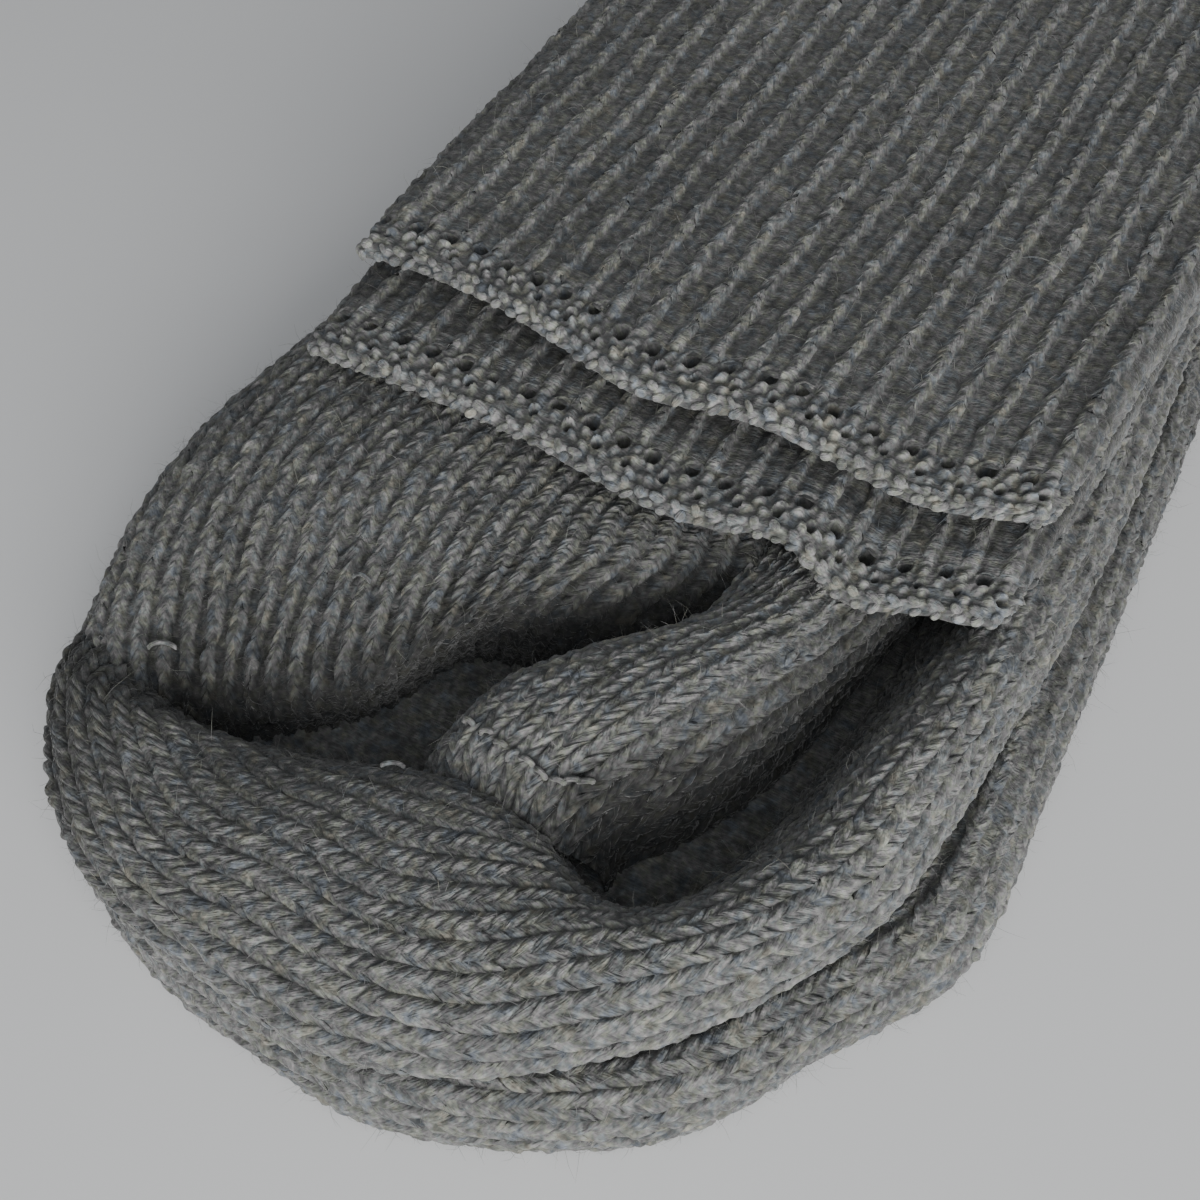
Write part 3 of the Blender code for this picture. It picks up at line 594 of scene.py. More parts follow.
outer_leg = leg_cloth(OUTER_TUBE - 1.3, 0.5 * PACK_HEIGHT - 0.65, OUTER_EDGE, OUTER_WAVE, -44.4, 40.4, outer_sag)
inner_leg = leg_cloth(INNER_TUBE - 1.3, 0.5 * PACK_HEIGHT - OUTER_TUBE - GAP - 0.65, INNER_EDGE, INNER_WAVE, -43.4, 38.4, inner_sag)


def facing_out(cl):
    """Turns a tube's normals away from its middle."""
    mid = cl.P.mean(axis=1, keepdims=True)
    if ((cl.P - mid) * cl.N).sum() < 0:
        cl.N, cl.flip = -cl.N, not cl.flip


facing_out(outer_leg)
facing_out(inner_leg)

flank = patch(FLANK, False)
heel = patch(HEEL, True)
lobe = patch(LOBE, False)


def rim_cloth():
    rim = np.array(RIM)
    d = spline(rim, np.linspace(0, len(rim) - 1, 10 * (len(rim) - 1) + 1))
    tan = np.gradient(d[:, :2], axis=0)
    tan /= np.linalg.norm(tan, axis=1, keepdims=True)
    inward = np.stack([-tan[:, 1], tan[:, 0]], axis=1)  # the outline runs with the object on its left
    sec = [(11.0, 0.80), (7.0, 0.93), (None, 1.0), (0.9, 0.82), (0.0, 0.5), (0.8, 0.17), (2.8, 0.02), (7.0, 0.0)]
    rows = []
    for i in range(len(d)):
        lip, inset = d[i, 2], d[i, 3]
        row = []
        for off, hz in sec:
            o = inset if off is None else off
            p = d[i, :2] + inward[i] * o
            z = lip * hz
            row.append((p[0], p[1], max(z, 0.35)))
        rows.append(row)
    rows = np.array(rows)
    b = spline(rows.transpose(1, 0, 2), np.linspace(0, rows.shape[1] - 1, 10 * (rows.shape[1] - 1) + 1)).transpose(1, 0, 2)
    return Cloth(b, False, flip=False)


rim = rim_cloth()
if (rim.N[:, rim.N.shape[1] // 4, 2]).mean() < 0:
    rim.N, rim.flip = -rim.N, not rim.flip

# ------------------------------------------------------------------ pieces
def surface(p):
    a, b, c, d = (p["V"][p["F"][:, i]] for i in range(4))
    return float(np.linalg.norm(np.cross(c - a, d - b), axis=1).sum() * 0.5)


def add(name, parts, node, flat, area=None):
    whole = merge(name, parts)
    print("PIECE", name, "triangles", 2 * len(whole["F"]), "share", round(surface(whole) * 1e-6 / (area or flat[0] * flat[1]), 2))
    ob = make(whole, WOOL)
    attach(ob, "root")
    if node:
        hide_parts(node)
    return ob, whole


N_RIBS = 42
COURSE = 1.35
KNIT_W = 0.42  # share of a cuff rib's width that its raised wale takes
RIDGE = 0.80  # how far it stands up, mm
PLATEAU = 0.5  # height of the purl stitches between, as a share of that


def ridge_line(x):
    """A rib's section across, 0 to 1, x in ribs."""
    x = np.mod(x, 1.0)
    k = np.clip(np.abs(2 * x / KNIT_W - 1), 0, 1)
    g = 1 - np.clip((x - KNIT_W) / (1 - KNIT_W), 0, 1)
    foot = PLATEAU * (0.74 + 0.13 * np.clip(x / KNIT_W, 0, 1))
    return np.where(x < KNIT_W, foot + (1 - foot) * np.maximum(0, 1 - k**2.3) ** 0.6, PLATEAU * (0.74 + 0.26 * np.clip(g / 0.45, 0, 1) ** 0.8 - 0.13 * g**3))


def edge_band(name, cl, unit, units, step, seed, ridge=RIDGE, back=2.6, front=7.6):
    """The cuff's edge: ribs end at a row of eyelets, then bumps, painted lighter towards their tops, down to the edge
    and over it.
    """
    u0, u1 = units
    s = np.arange(u0 * unit, u1 * unit + 0.5 * step, step)
    d = np.concatenate([np.arange(front, 5.2, -2.4 * step), np.arange(5.2, -back - 0.5 * step, -step * (1.0 if step < 0.4 else 0.6))])
    S, D = np.meshgrid(s, d)
    r = np.random.default_rng(seed)
    x = S / unit
    h = 0.26 + 0.14 * wander(S, D * 3, waves(4, seed, 0.3, 1.4)) + 0.08 * wander(S, D, waves(9, seed + 3, 2.0, 5.0))
    top = np.clip((D - 4.3) / 0.9, 0, 1)
    line = ridge_line(x)
    h = h * (1 - top) + top * (ridge * line + 0.16)
    # painted shade in the groove on each rib's right and on the edge below the ribs, painted light on the ribs' tops
    dark_side = np.exp(-(((1 - np.clip((np.mod(x, 1.0) - KNIT_W) / (1 - KNIT_W), 0, 1)) / 0.38) ** 2)) * (np.mod(x, 1.0) > KNIT_W)
    deep = 0.15 + top * (0.18 + 0.7 * dark_side - 0.7 * (line > 0.8)) + 0.22 * (1 - top)
    # rows of bumps: distance from the edge, bumps per rib, phase, half length, half width, height
    rows_of = ((4.6, 1, KNIT_W / 2, 0.72, 0.62, 0.55), (3.3, 1, KNIT_W / 2 - 0.02, 0.55, 0.80, 0.62), (2.15, 2, 0.21, 0.66, 0.52, 0.64), (0.95, 2, 0.46, 0.66, 0.50, 0.60), (-0.5, 2, 0.45, 0.8, 0.5, 0.4))
    for k, (dist, per, ph, ea, eb, eh) in enumerate(rows_of):
        # each bump is painted lighter towards its top, some rows more than others
        painted_highlight = (0.9, 0.75, 0.95, 1.35, 1.6)[k]
        pitch = unit / per
        n = int(N_RIBS * per) + 4
        jit = r.normal(0, 1, (n, 4)).clip(-2, 2)
        i = np.round((S - ph * unit) / pitch).astype(int) % n
        j = jit[i]
        ds = (S - ph * unit) - np.round((S - ph * unit) / pitch) * pitch - 0.16 * j[..., 0]
        dd = D - dist - 0.18 * j[..., 1]
        tilt = (0.45 if k % 2 else -0.4) + 0.35 * j[..., 2]
        a = (ds * np.cos(tilt) + dd * np.sin(tilt)) / (ea * (1 + 0.13 * j[..., 3]))
        b = (-ds * np.sin(tilt) + dd * np.cos(tilt)) / eb
        e = np.sqrt(np.maximum(0, 1 - a * a - b * b))
        bump = eh * (1 + 0.2 * j[..., 3]) * e
        h = np.maximum(h, 0.22 * (e > 0) + bump)
        deep = np.where(e > 0, 0.45 - (painted_highlight + 0.3 + 0.25 * j[..., 3]) * e, deep)
    # eyelets, one to a rib, and smaller holes between them nearer the edge
    for dist, ph, rad, depth, seed2 in ((3.5, KNIT_W + (1 - KNIT_W) * 0.46, 0.66, 2.2, 1), (1.55, KNIT_W / 2 - 0.02, 0.42, 0.9, 2)):
        jit = np.random.default_rng(seed + seed2).normal(0, 1, (N_RIBS + 4, 3)).clip(-2, 2)
        i = np.round(x - ph).astype(int) % (N_RIBS + 4)
        ds = (x - ph - np.round(x - ph)) * unit - 0.14 * jit[i][..., 0]
        dd = D - dist - 0.16 * jit[i][..., 1]
        rr = np.sqrt(ds**2 + dd**2) / (rad * (1 + 0.14 * jit[i][..., 2]))
        pit = np.clip(1.25 - rr, 0, 1)
        ring = np.exp(-((rr - 1.5) / 0.32) ** 2)
        h = h * (1 - np.clip(pit * 1.6, 0, 1)) - depth * np.clip(pit * 1.5, 0, 1) + 0.26 * ring
        # painted shade in the eyelets' holes, painted light on the rings round them
        deep = deep * (1 - np.clip(pit * 2.0, 0, 1)) + 1.25 * np.clip(pit * 2.0, 0, 1) - 0.3 * ring
    fade = np.clip((front - D) / 0.7, 0, 1) * np.clip((D + back) / 0.6, 0, 1)
    h = h * fade - 0.35 * (1 - fade)
    P, N = cl.at(S, cl.mark - D)
    V = P + N * h[..., None]
    ny, nx = h.shape
    idx = np.arange(ny * nx).reshape(ny, nx)
    F = np.stack([idx[:-1, :-1], idx[:-1, 1:], idx[1:, 1:], idx[1:, :-1]], axis=-1).reshape(-1, 4)
    uv = np.stack([S.ravel()[F], D.ravel()[F]], axis=-1)
    cell = (np.floor(x * 2).astype(int) * 7 + np.floor(D).astype(int) * 13) % 97
    tone = np.random.default_rng(seed + 7).normal(0, 1, 97)[cell].ravel()[F[:, 0]]
    if cl.flip:
        F, uv = F[:, ::-1], uv[:, ::-1]
    return dict(name=name, V=V.reshape(-1, 3), F=F, uv=uv, tone=tone, deep=deep.ravel())


def blob_template(n=3):
    pts, faces = [], []
    for axis in range(3):
        for sgn in (-1, 1):
            base = len(pts)
            for i in range(n + 1):
                for j in range(n + 1):
                    a, b = math.tan((2 * i / n - 1) * math.pi / 4), math.tan((2 * j / n - 1) * math.pi / 4)
                    v = [0, 0, 0]
                    v[axis] = sgn
                    v[(axis + 1) % 3] = a * sgn
                    v[(axis + 2) % 3] = b
                    pts.append(v)
            for i in range(n):
                for j in range(n):
                    q = base + i * (n + 1) + j
                    faces.append((q, q + n + 1, q + n + 2, q + 1))
    pts = np.array(pts, float)
    return pts / np.linalg.norm(pts, axis=1, keepdims=True), np.array(faces)


BLOB = blob_template()


def blobs(name, spots, deep=-0.35):
    """Many small yarn bumps as one mesh; each spot is (centre, three half axes as rows)."""
    P, Fc = BLOB
    V = np.concatenate([c + P @ ax for c, ax in spots])
    F = np.concatenate([Fc + i * len(P) for i in range(len(spots))])
    uv = np.concatenate([(P[:, :2][Fc] * 1.2 + i * 0.7) for i in range(len(spots))])
    tone = np.repeat(RNG.normal(0, 1, len(spots)), len(Fc))
    return dict(name=name, V=V, F=F, uv=uv, tone=tone, deep=np.full(len(V), deep))


def yarn(name, paths, radius, sides=7, deep=-0.3):
    """Lengths of yarn along paths, as one mesh."""
    V, F, uv, tone, n = [], [], [], [], 0
    for path in paths:
        path = np.asarray(path, float)
        m = len(path)
        t = np.gradient(path, axis=0)
        t /= np.maximum(np.linalg.norm(t, axis=1, keepdims=True), 1e-9)
        ref = np.array([0.13, 0.31, 1.0])
        a = np.cross(t, ref)
        a /= np.maximum(np.linalg.norm(a, axis=1, keepdims=True), 1e-9)
        b = np.cross(t, a)
        ang = np.linspace(0, 2 * math.pi, sides + 1)
        taper = np.ones(m)
        taper[0] = taper[-1] = 0.35
        ring = path[:, None] + (radius * taper)[:, None, None] * (np.cos(ang)[None, :, None] * a[:, None] + np.sin(ang)[None, :, None] * b[:, None])
        V.append(ring.reshape(-1, 3))
        idx = np.arange(m * (sides + 1)).reshape(m, sides + 1) + n
        f = np.stack([idx[:-1, :-1], idx[1:, :-1], idx[1:, 1:], idx[:-1, 1:]], axis=-1).reshape(-1, 4)
        run = np.concatenate([[0], np.cumsum(np.linalg.norm(np.diff(path, axis=0), axis=1))])
        U = np.repeat(run[:, None], sides + 1, 1).ravel()
        W = np.repeat((ang * radius)[None, :], m, 0).ravel()
        F.append(f)
        uv.append(np.stack([U[f - n], W[f - n]], axis=-1))
        tone.append(np.full(len(f), RNG.normal(0, 1)))
        n += m * (sides + 1)
    V = np.concatenate(V)
    return dict(name=name, V=V, F=np.concatenate(F), uv=np.concatenate(uv), tone=np.concatenate(tone), deep=np.full(len(V), deep))


def edge_beads(name, cl, unit, seed):
    r = np.random.default_rng(seed)
    spots = []
    for row, (dist, out, ph) in enumerate(((-0.25, 0.42, 0.06), (-1.25, 0.35, 0.31))):
        for k in range(2 * N_RIBS):
            j = r.normal(0, 1, 6)
            sk = (k / 2 + ph) * unit % cl.width + 0.10 * j[0]
            P, N = cl.at(np.array([sk]), np.array([cl.mark - dist + 0.08 * j[1]]))
            Q, _ = cl.at(np.array([(sk + 0.5) % cl.width]), np.array([cl.mark - dist]))
            n = N[0]
            t = Q[0] - P[0]
            t -= n * (t @ n)
            t /= max(np.linalg.norm(t), 1e-9)
            b = np.cross(n, t)
            c, s_ = math.cos((0.5 if row else -0.45) + 0.25 * j[2]), math.sin((0.5 if row else -0.45) + 0.25 * j[2])
            t, b = t * c + b * s_, b * c - t * s_
            ax = np.array([t * (0.80 + 0.14 * j[3]), b * (0.48 + 0.09 * j[4]), n * (0.44 + 0.08 * j[5])])
            spots.append((P[0] + n * out, ax))
    # the beads are painted lighter than the knit
    return blobs(name, spots, -1.05)


def hairs(name, part, count, seed, reach=(0.7, 1.9), width=0.03, only=None):
    """Loose fibres standing off a knitted part, as thin ribbons."""
    r = np.random.default_rng(seed)
    V, F = part["V"], part["F"]
    a, b, c, d = (V[F[:, i]] for i in range(4))
    nrm = np.cross(c - a, d - b)
    ar = np.linalg.norm(nrm, axis=1)
    ok = ar > 1e-6
    if only is not None:
        ok &= only((a + c) * 0.5, nrm / np.maximum(ar, 1e-9)[:, None])
    pick = np.where(ok)[0]
    w = ar[pick] / ar[pick].sum()
    pick = r.choice(pick, count, p=w)
    n = nrm[pick] / ar[pick][:, None]
    o = (a[pick] + b[pick] + c[pick] + d[pick]) * 0.25
    # each fibre takes the painted shade of the spot it grows from, then is painted a little lighter
    root = np.clip(part["deep"][F[pick, 0]], -0.2, 1.6)
    t = r.normal(0, 1, (count, 3))
    t -= n * (t * n).sum(1, keepdims=True)
    t /= np.linalg.norm(t, axis=1, keepdims=True)
    L = r.uniform(*reach, count)[:, None]
    lift = r.uniform(0.25, 0.95, count)[:, None]
    curl = r.normal(0, 1, (count, 3))
    p0 = o - n * 0.1
    p1 = o + (n * lift + t * 0.6) * L * 0.4 + curl * 0.07 * L
    p2 = o + (n * lift * 0.9 + t * 1.0) * L * 0.75 + curl * 0.20 * L
    p3 = o + (n * lift * 0.55 + t * 1.25) * L + curl * 0.42 * L
    side = np.cross(p3 - p0, r.normal(0, 1, (count, 3)))
    side /= np.linalg.norm(side, axis=1, keepdims=True)
    pts = []
    for p, wd in ((p0, 1.0), (0.35 * p1 + 0.65 * p2, 0.9), (p3, 0.3)):
        pts += [p - side * width * 0.5 * wd, p + side * width * 0.5 * wd]
    V2 = np.stack(pts, axis=1).reshape(-1, 3)
    base = np.arange(count)[:, None, None] * 6
    F2 = (base + np.array([[0, 1, 3, 2], [2, 3, 5, 4]])[None]).reshape(-1, 4)
    uv = np.zeros((len(F2), 4, 2)) + r.uniform(0, 50, (len(F2), 1, 2))
    return dict(name=name, V=V2, F=F2, uv=uv, tone=np.repeat(r.normal(0.8, 1, count), 2), deep=np.repeat(root * 0.9 - 0.4, 6))


def loose(part, rides_with=None):
    print("PIECE", part["name"], "triangles", 2 * len(part["F"]))
    ob = make(part, WOOL)
    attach(ob, "root")
    return ob


# outer leg
def leg_pieces(cl, tag, near_from, seed, node, far, fuzz, shade=None):
    unit = cl.width / N_RIBS
    n = int(cl.mark / COURSE)
    c = cl.mark / n
    stop = n - int(5.3 / c)
    a, b = 9, 33
    kw = dict(narrow=KNIT_W, plateau=PLATEAU, wobble=0.3, line=0.66, painted_highlight=0.53, shade=shade, swing=seed, mirror=True, flat=0.18)
    parts = [knit("top", cl, unit, c, (a, b), (near_from, stop), leg=0.26, ridge=RIDGE, seed=seed, segs=(5, 4), rows=4, rough=1.2, **kw)]
    parts += [knit("far", cl, unit, c, (a, b), (0, near_from), leg=0.26, ridge=RIDGE, seed=seed + 1, segs=far[:2], rows=far[2], rough=1.2, **kw)]
    parts += [knit("under1", cl, unit, c, (0, a), (0, n), leg=0.25, ridge=0.7, seed=seed + 2, segs=(2, 2), rows=2, rough=1.2, **kw)]
    parts += [knit("under2", cl, unit, c, (b, N_RIBS), (0, n), leg=0.25, ridge=0.7, seed=seed + 3, segs=(2, 2), rows=2, rough=1.2, **kw)]
    parts += [edge_band("bandu", cl, unit, (0, a), 0.5, seed + 5), edge_band("bandv", cl, unit, (b, N_RIBS), 0.5, seed + 5)]
    ob, whole = add(tag + "_knit", parts, node, (cl.width * MM, cl.length * MM))
    band = edge_band(tag + "_edge", cl, unit, (a, b), 0.20, seed + 4)
    edge = loose(band)
    beads = loose(edge_beads(tag + "_picot", cl, unit, seed + 6))
    fz = loose(hairs(tag + "_fuzz", whole, fuzz, seed + 7, only=lambda p, n: (n[:, 2] > 0.2) & (p[:, 2] > 20)))
    return ob


def outer_leg_painted_shade(V, N):
    """Painted shade: the whole leg a little darker, its right side more so."""
    return 0.26 + 0.25 * np.clip((V[..., 0] - 30) / 8, 0, 1)


def inner_cuff_painted_shade(V, N):
    """Painted shade on the inner cuff, most where it goes in under the outer one."""
    return 0.34 + 0.35 * np.clip((V[..., 1] - 13.5) / 6.0, 0, 1) * (V[..., 2] > 17)


outer_ob = leg_pieces(outer_leg, "outer_sock_leg", int(outer_leg.mark / COURSE) - 64, 21, "outer_sock_leg", (4, 2, 3), 5600, outer_leg_painted_shade)
inner_ob = leg_pieces(inner_leg, "inner_sock_leg", int(inner_leg.mark / COURSE) - 18, 31, "inner_sock_leg", (2, 2, 2), 3200, inner_cuff_painted_shade)


def stretch(name, cl, unit, course, rib, leg, ridge, seed, node, narrow, fuzz, plateau=0.15, segs=(6, 2), rows=5, split=None, slant=1.05, lean=0.0, shade=None, fade=None, rough=1.0, line=0.5):
    nu = int(round(cl.width / unit)) if not cl.arc else int(cl.width / unit) + 1
    unit = cl.width / nu if not cl.arc else unit
    nc = int(cl.length / course)
    c = cl.length / nc
    fr = (lambda k, y: rib(y * c) + 0 * k) if callable(rib) else rib
    kw = dict(leg=leg, ridge=ridge, narrow=narrow, plateau=plateau, slant=slant, wobble=0.6, shade=shade, fade=fade, rough=rough, line=line, swing=seed)
    kw["lean"] = (lambda y: lean(y * c)) if callable(lean) else lean
    parts, done = [], 0
    for t0, t1, sg, rw in split or [(0, 1, segs, rows)]:
        c0, c1 = int(round(nc * t0)), int(round(nc * t1))
        parts.append(knit(name + str(c0), cl, unit, c, (0, nu), (c0, c1), rib=fr, seed=seed + c0, segs=sg, rows=rw, **kw))
    ob, whole = add(name, parts, node, (cl.width * MM, cl.length * MM), area=float(cl.total.mean() * cl.length) * 1e-6)
    fz = loose(hairs(name + "_fuzz", whole, int(fuzz * (1.0)), seed + 7, only=lambda p, n: (p[:, 1] < 40) | (p[:, 0] > 36)))
    return ob, whole


def ramp(t, a, b):
    return np.clip((t - a) / (b - a), 0, 1)


def hollow_painted_shade(V, N):
    """Painted shade down in the crease and the valley, in the grooves' units, darker the lower the cloth lies."""
    x, y, z = V[..., 0], V[..., 1], V[..., 2]
    within = np.clip((x + 34) / 8, 0, 1) * np.clip((29.5 - x) / 2.5, 0, 1) * np.clip((24 - y) / 8, 0, 1) * np.clip((y + 31) / 4, 0, 1)
    return within * np.clip((17.0 - z) / 8.0, 0, 1) * 0.9


def flank_painted_shade(V, N):
    """Painted shade: the flank a little darker overall, and more as it goes down towards the crease."""
    x, y, z = V[..., 0], V[..., 1], V[..., 2]
    dark = np.interp(x, [-30, -21.5, -17.7, -15, -11.8, 5], [9.4, 10.5, 13.2, 15.4, 17.0, 16.6])
    low = 1.1 * np.clip((dark + 6.0 - z) / 5.6, 0, 1) + 0.8 * np.clip((21.5 - z) / 6.0, 0, 1)
    return 0.33 + np.maximum(hollow_painted_shade(V, N), low * np.clip((x + 46) / 8, 0, 1) * np.clip((22 - y) / 10, 0, 1))


def lobe_painted_shade(V, N):
    """Painted shade on the lobe's wall on the valley's side, dark from close under its top; the rest of the lobe gets a
    little painted light.
    """
    y, z = V[..., 1], V[..., 2]
    right = np.clip((0.87 * N[..., 0] - 0.5 * N[..., 1]) * 2.0 - 0.3, 0, 1)
    return hollow_painted_shade(V, N) - 0.3 + right * (0.35 + 1.3 * np.clip((22.2 - z) / 4.2, 0, 1)) * np.clip((y + 26) / 6, 0, 1) * np.clip((24 - y) / 8, 0, 1)


# painted shade and light on the heel by place: lighter overall, darker towards the left, lighter on the near right,
# darker further back
def heel_painted_shade(x, y):
    return -0.14 + 0.2 * np.clip((-13 - x) / 11, 0, 1) + 0.62 * np.clip((-28 - x) / 12, 0, 1) - 0.16 * np.clip((x - 8) / 8, 0, 1) * np.clip(-y / 5, 0, 1) + 0.42 * np.clip((y - 8) / 20, 0, 1)


# painted shade on the rim's right side further back and on its left side, painted light at its near end
def rim_painted_shade(V, N):
    x, y = V[..., 0], V[..., 1]
    return 0.6 * np.clip((x - 35) / 5, 0, 1) * np.clip((y - 2) / 20, 0, 1) - 0.12 * np.clip((-30 - y) / 10, 0, 1) + 0.5 * np.clip((-22 - x) / 14, 0, 1)


def heel_inner_wall_painted_shade(V, N):
    """Painted shade on the right flank's inner side, which turns away to the left, darker lower down; with the heel's
    painted shade and light added.
    """
    away = np.clip(0.15 - (0.87 * N[..., 0] - 0.5 * N[..., 1]), 0, 1)
    z, y = V[..., 2], V[..., 1]
    return np.clip(away * 2.2, 0, 1) * np.clip((18.5 - z) / 7.0, 0, 1) * 0.75 * np.clip((24 - y) / 8, 0, 1) + heel_painted_shade(V[..., 0], y)


HIDE = ((4, 1), 2)
f_hidden = float(np.interp(32.0, flank.P[::-1, flank.P.shape[1] // 2, 1], np.linspace(1, 0, flank.P.shape[0])))
FL = flank.length
stretch("inner_sock_instep_left", flank, 2.5, 1.55, lambda t: 0.38 + 0.52 * ramp(t, FL - 50, FL - 30), 0.32, 0.55, 41, "inner_sock_foot", 0.70, 3800,
        split=[(0, f_hidden, *HIDE), (f_hidden, 1, (6, 2), 5)], shade=flank_painted_shade, rough=1.35, line=lambda t: 0.25 + 0.6 * ramp(t, FL - 36, FL - 26))
stretch("inner_sock_heel_and_sole", heel, 2.7, 1.6, lambda t: 0.9 * ramp(t, 128, 150), 0.36, 0.7, 51, "inner_sock_foot", 0.6, 4400,
        segs=(6, 3), rows=5, lean=lambda t: 0.95 * (1 - ramp(t, 62, 95)) * ramp(t, 0, 10), shade=heel_inner_wall_painted_shade,
        fade=lambda s, t: (0.45 + 0.55 * ramp(t, 4, 16)) * (1 - 0.4 * ramp(s, 11, 18) * (1 - ramp(t, 50, 75))), rough=1.15)
stretch("inner_sock_instep_right", lobe, 2.5, 1.6, lambda t: 0.85 * ramp(t, 14, 30), 0.38, 0.65, 61, "inner_sock_foot", 0.62, 1700, segs=(6, 3), rows=5, shade=lobe_painted_shade, rough=1.15)
RL = rim.length
stretch("outer_sock_heel_rim", rim, 2.7, 1.6, lambda t: np.maximum(0.85 * ramp(t, 0.645 * RL, 0.70 * RL), 0.85 * (1 - ramp(t, 0.2 * RL, 0.24 * RL))),
        0.37, 0.7, 71, "outer_sock_foot", 0.6, 4200, segs=(6, 2), rows=5, split=[(0, 0.2, (4, 1), 3), (0.2, 0.9, (6, 2), 5), (0.9, 1, (4, 1), 3)], rough=1.25, shade=rim_painted_shade)

# hidden layers: each foot's own form drawn in under the knit
def core(node, name, shrink, sink, tuck=1.0):
    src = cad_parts[node]
    me = src.data.copy()
    me.name = name
    n = len(me.vertices)
    co_ = np.empty(n * 3, np.float32)
    no = np.empty(n * 3, np.float32)
    me.vertices.foreach_get("co", co_)
    me.vertex_normals.foreach_get("vector", no)
    new = (co_ - no * shrink * MM).reshape(-1, 3)
    floor_z = new[:, 2].min()
    new[:, 2] = np.maximum(new[:, 2] - sink * MM * np.clip((new[:, 2] - floor_z) / 0.006, 0, 1), 0.0006)
    mid = np.array([-0.5, 30.0]) * MM - CENTRE[:2] * MM
    new[:, :2] = mid + (new[:, :2] - mid) * tuck
    me.vertices.foreach_set("co", new.astype(np.float32).ravel())
    while me.uv_layers:
        me.uv_layers.remove(me.uv_layers[0])
    uvl = me.uv_layers.new(name="yarn")
    lv = np.empty(len(me.loops), np.int32)
    me.loops.foreach_get("vertex_index", lv)
    xyz = co_.reshape(-1, 3)[lv]
    uvl.data.foreach_set("uv", (xyz[:, :2] * 100).astype(np.float32).ravel())
    # painted shade: the hidden layers are painted darker than the knit, so where they show in the crease and valley
    # they read as shade
    for nm, dom, cnt, val in (("tone", "FACE", len(me.polygons), -0.5), ("deep", "POINT", n, 0.55)):
        if nm in me.attributes:
            me.attributes.remove(me.attributes[nm])
        at = me.attributes.new(nm, "FLOAT", dom)
        at.data.foreach_set("value", np.full(cnt, val, np.float32))
    me.materials.clear()
    me.materials.append(WOOL)
    ob = bpy.data.objects.new(name, me)
    ob.matrix_world = src.matrix_world
    bpy.context.scene.collection.objects.link(ob)
    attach(ob, "root")
    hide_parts(node)
    return ob


core("inner_sock_foot", "inner_sock_foot_layers", 2.6, 5.0)
core("outer_sock_foot", "outer_sock_foot_layers", 3.0, 2.6, 0.965)


# ------------------------------------------------------------------ small loops of yarn
def on(cl, x, y):
    """The point and the normal of a cloth's upper side over a spot in plan."""
    d = (cl.P[..., 0] - x) ** 2 + (cl.P[..., 1] - y) ** 2 + 1e3 * (cl.N[..., 2] < 0.1)
    j, i = np.unravel_index(np.argmin(d), d.shape)
    return cl.P[j, i], cl.N[j, i]


def loop(cl, x, y, turn, width, height, stand=0.5):
    """An arch of yarn over the cloth; turn is its direction in plan, degrees."""
    p, n = on(cl, x, y)
    t = np.array([math.cos(math.radians(turn)), math.sin(math.radians(turn)), 0.0])
    t -= n * (t @ n)
    t /= np.linalg.norm(t)
    b = np.cross(n, t)
    a = np.linspace(0, math.pi, 9)
    return [p + n * (stand + height * math.sin(v)) + t * (-0.5 * width * math.cos(v)) + b * 0.25 * math.sin(v) * width for v in a]


r = np.random.default_rng(5)
seam_loops = [loop(lobe, x, y, 20 + 25 * r.normal(), 1.3 + 0.3 * r.random(), 0.5 + 0.3 * r.random(), 0.35)
              for x, y in ((-4.4, -18.6), (-2.4, -18.9), (-0.4, -19.2), (1.6, -19.5), (3.3, -19.7), (5.0, -19.8), (6.6, -19.7), (8.0, -19.3), (9.2, -18.6))]
# the seam's loops are painted a little lighter than the knit
loose(yarn("inner_sock_gusset_seam", seam_loops, 0.32, deep=-0.2))
strays = [loop(flank, -39.2, -25.6, 30, 3.0, 0.6, 0.8), loop(flank, -23.2, -10.2, 10, 1.9, 0.9, 0.7), loop(heel, -8.8, -26.4, 30, 2.4, 0.4, 0.6)]
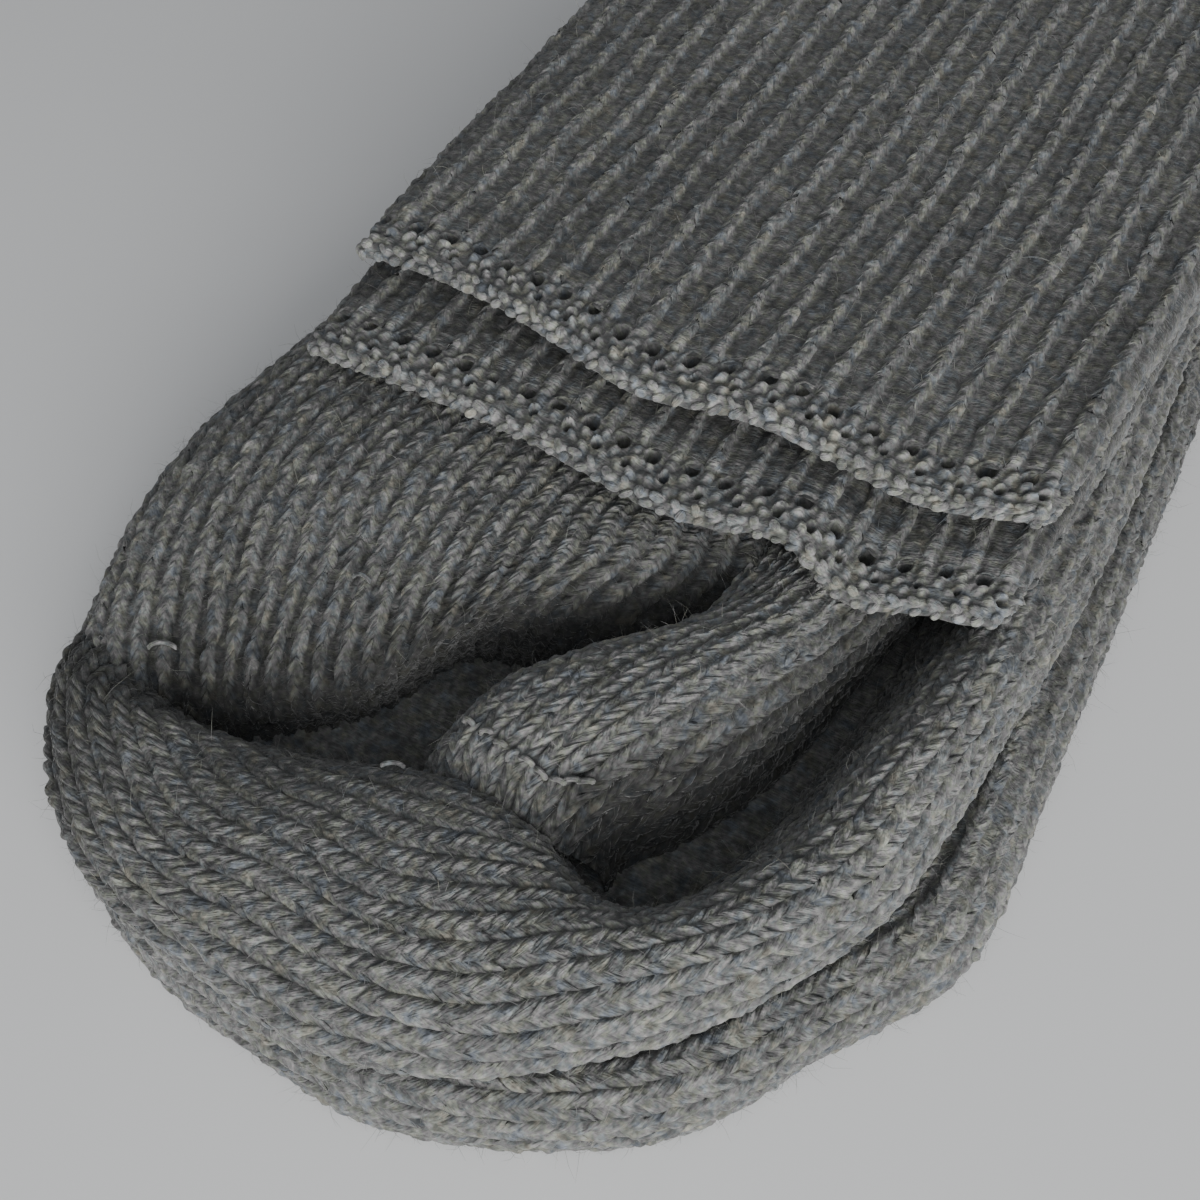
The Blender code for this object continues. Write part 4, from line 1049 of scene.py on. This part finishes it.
# the stray loops are painted lighter still
loose(yarn("inner_sock_loose_yarn", strays, 0.26, deep=-0.9))
p, n = on(outer_leg, 24.0, 55.0)
hair = [p + np.array([3.2 * (v - 0.5) * 2, 1.9 * math.sin(2.4 * v) - 1.0, 0.0]) + n * (0.9 + 0.5 * math.sin(3.1 * v)) for v in np.linspace(0, 1, 14)]
# the loose fibre is painted lightest
loose(yarn("outer_sock_loose_fibre", [hair], 0.05, sides=4, deep=-1.0))

# ------------------------------------------------------------------ floor, light, camera
bpy.ops.mesh.primitive_plane_add(size=6.0, location=(0, 0, 0))
floor = bpy.context.object
floor.name = "floor"
fm = bpy.data.materials.new("pale_floor")
fm.use_nodes = True
fm.node_tree.nodes["Principled BSDF"].inputs["Base Color"].default_value = (0.74, 0.742, 0.745, 1)
fm.node_tree.nodes["Principled BSDF"].inputs["Roughness"].default_value = 0.9
floor.data.materials.append(fm)

world = bpy.data.worlds.new("studio")
bpy.context.scene.world = world
world.use_nodes = True
world.node_tree.nodes["Background"].inputs["Color"].default_value = (0.93, 0.96, 1.0, 1)
world.node_tree.nodes["Background"].inputs["Strength"].default_value = 0.21


def area(name, loc, target, size, power, colour=(1, 1, 1)):
    d = bpy.data.lights.new(name, "AREA")
    d.shape = "DISK"
    d.size = size
    d.energy = power
    d.color = colour
    o = bpy.data.objects.new(name, d)
    bpy.context.scene.collection.objects.link(o)
    o.location = loc
    from mathutils import Vector
    o.rotation_euler = (Vector(target) - Vector(loc)).to_track_quat("-Z", "Y").to_euler()
    return o


key = area("key", (0.46, -0.54, 0.25), (0, -0.02, 0.01), 0.80, 7.0, (1.0, 0.995, 0.985))
key.data.shape = "ELLIPSE"
key.data.size_y = 0.40
area("fill", (0.25, -0.45, 0.75), (0, 0, 0.01), 0.8, 2.7, (0.96, 0.98, 1.0))

cam = bpy.data.cameras.new("camera")
cam.sensor_width = 36.0
cam.lens = 51.0
cam.clip_start = 0.005
co_cam = bpy.data.objects.new("camera", cam)
bpy.context.scene.collection.objects.link(co_cam)
from mathutils import Vector
eye = Vector((51.97 + 0.7, -90.02 - 37.7, 165.73)) * MM
look = Vector((0.7, -37.7, 20.0)) * MM
co_cam.location = eye
co_cam.rotation_euler = (look - eye).to_track_quat("-Z", "Y").to_euler()
bpy.context.scene.camera = co_cam
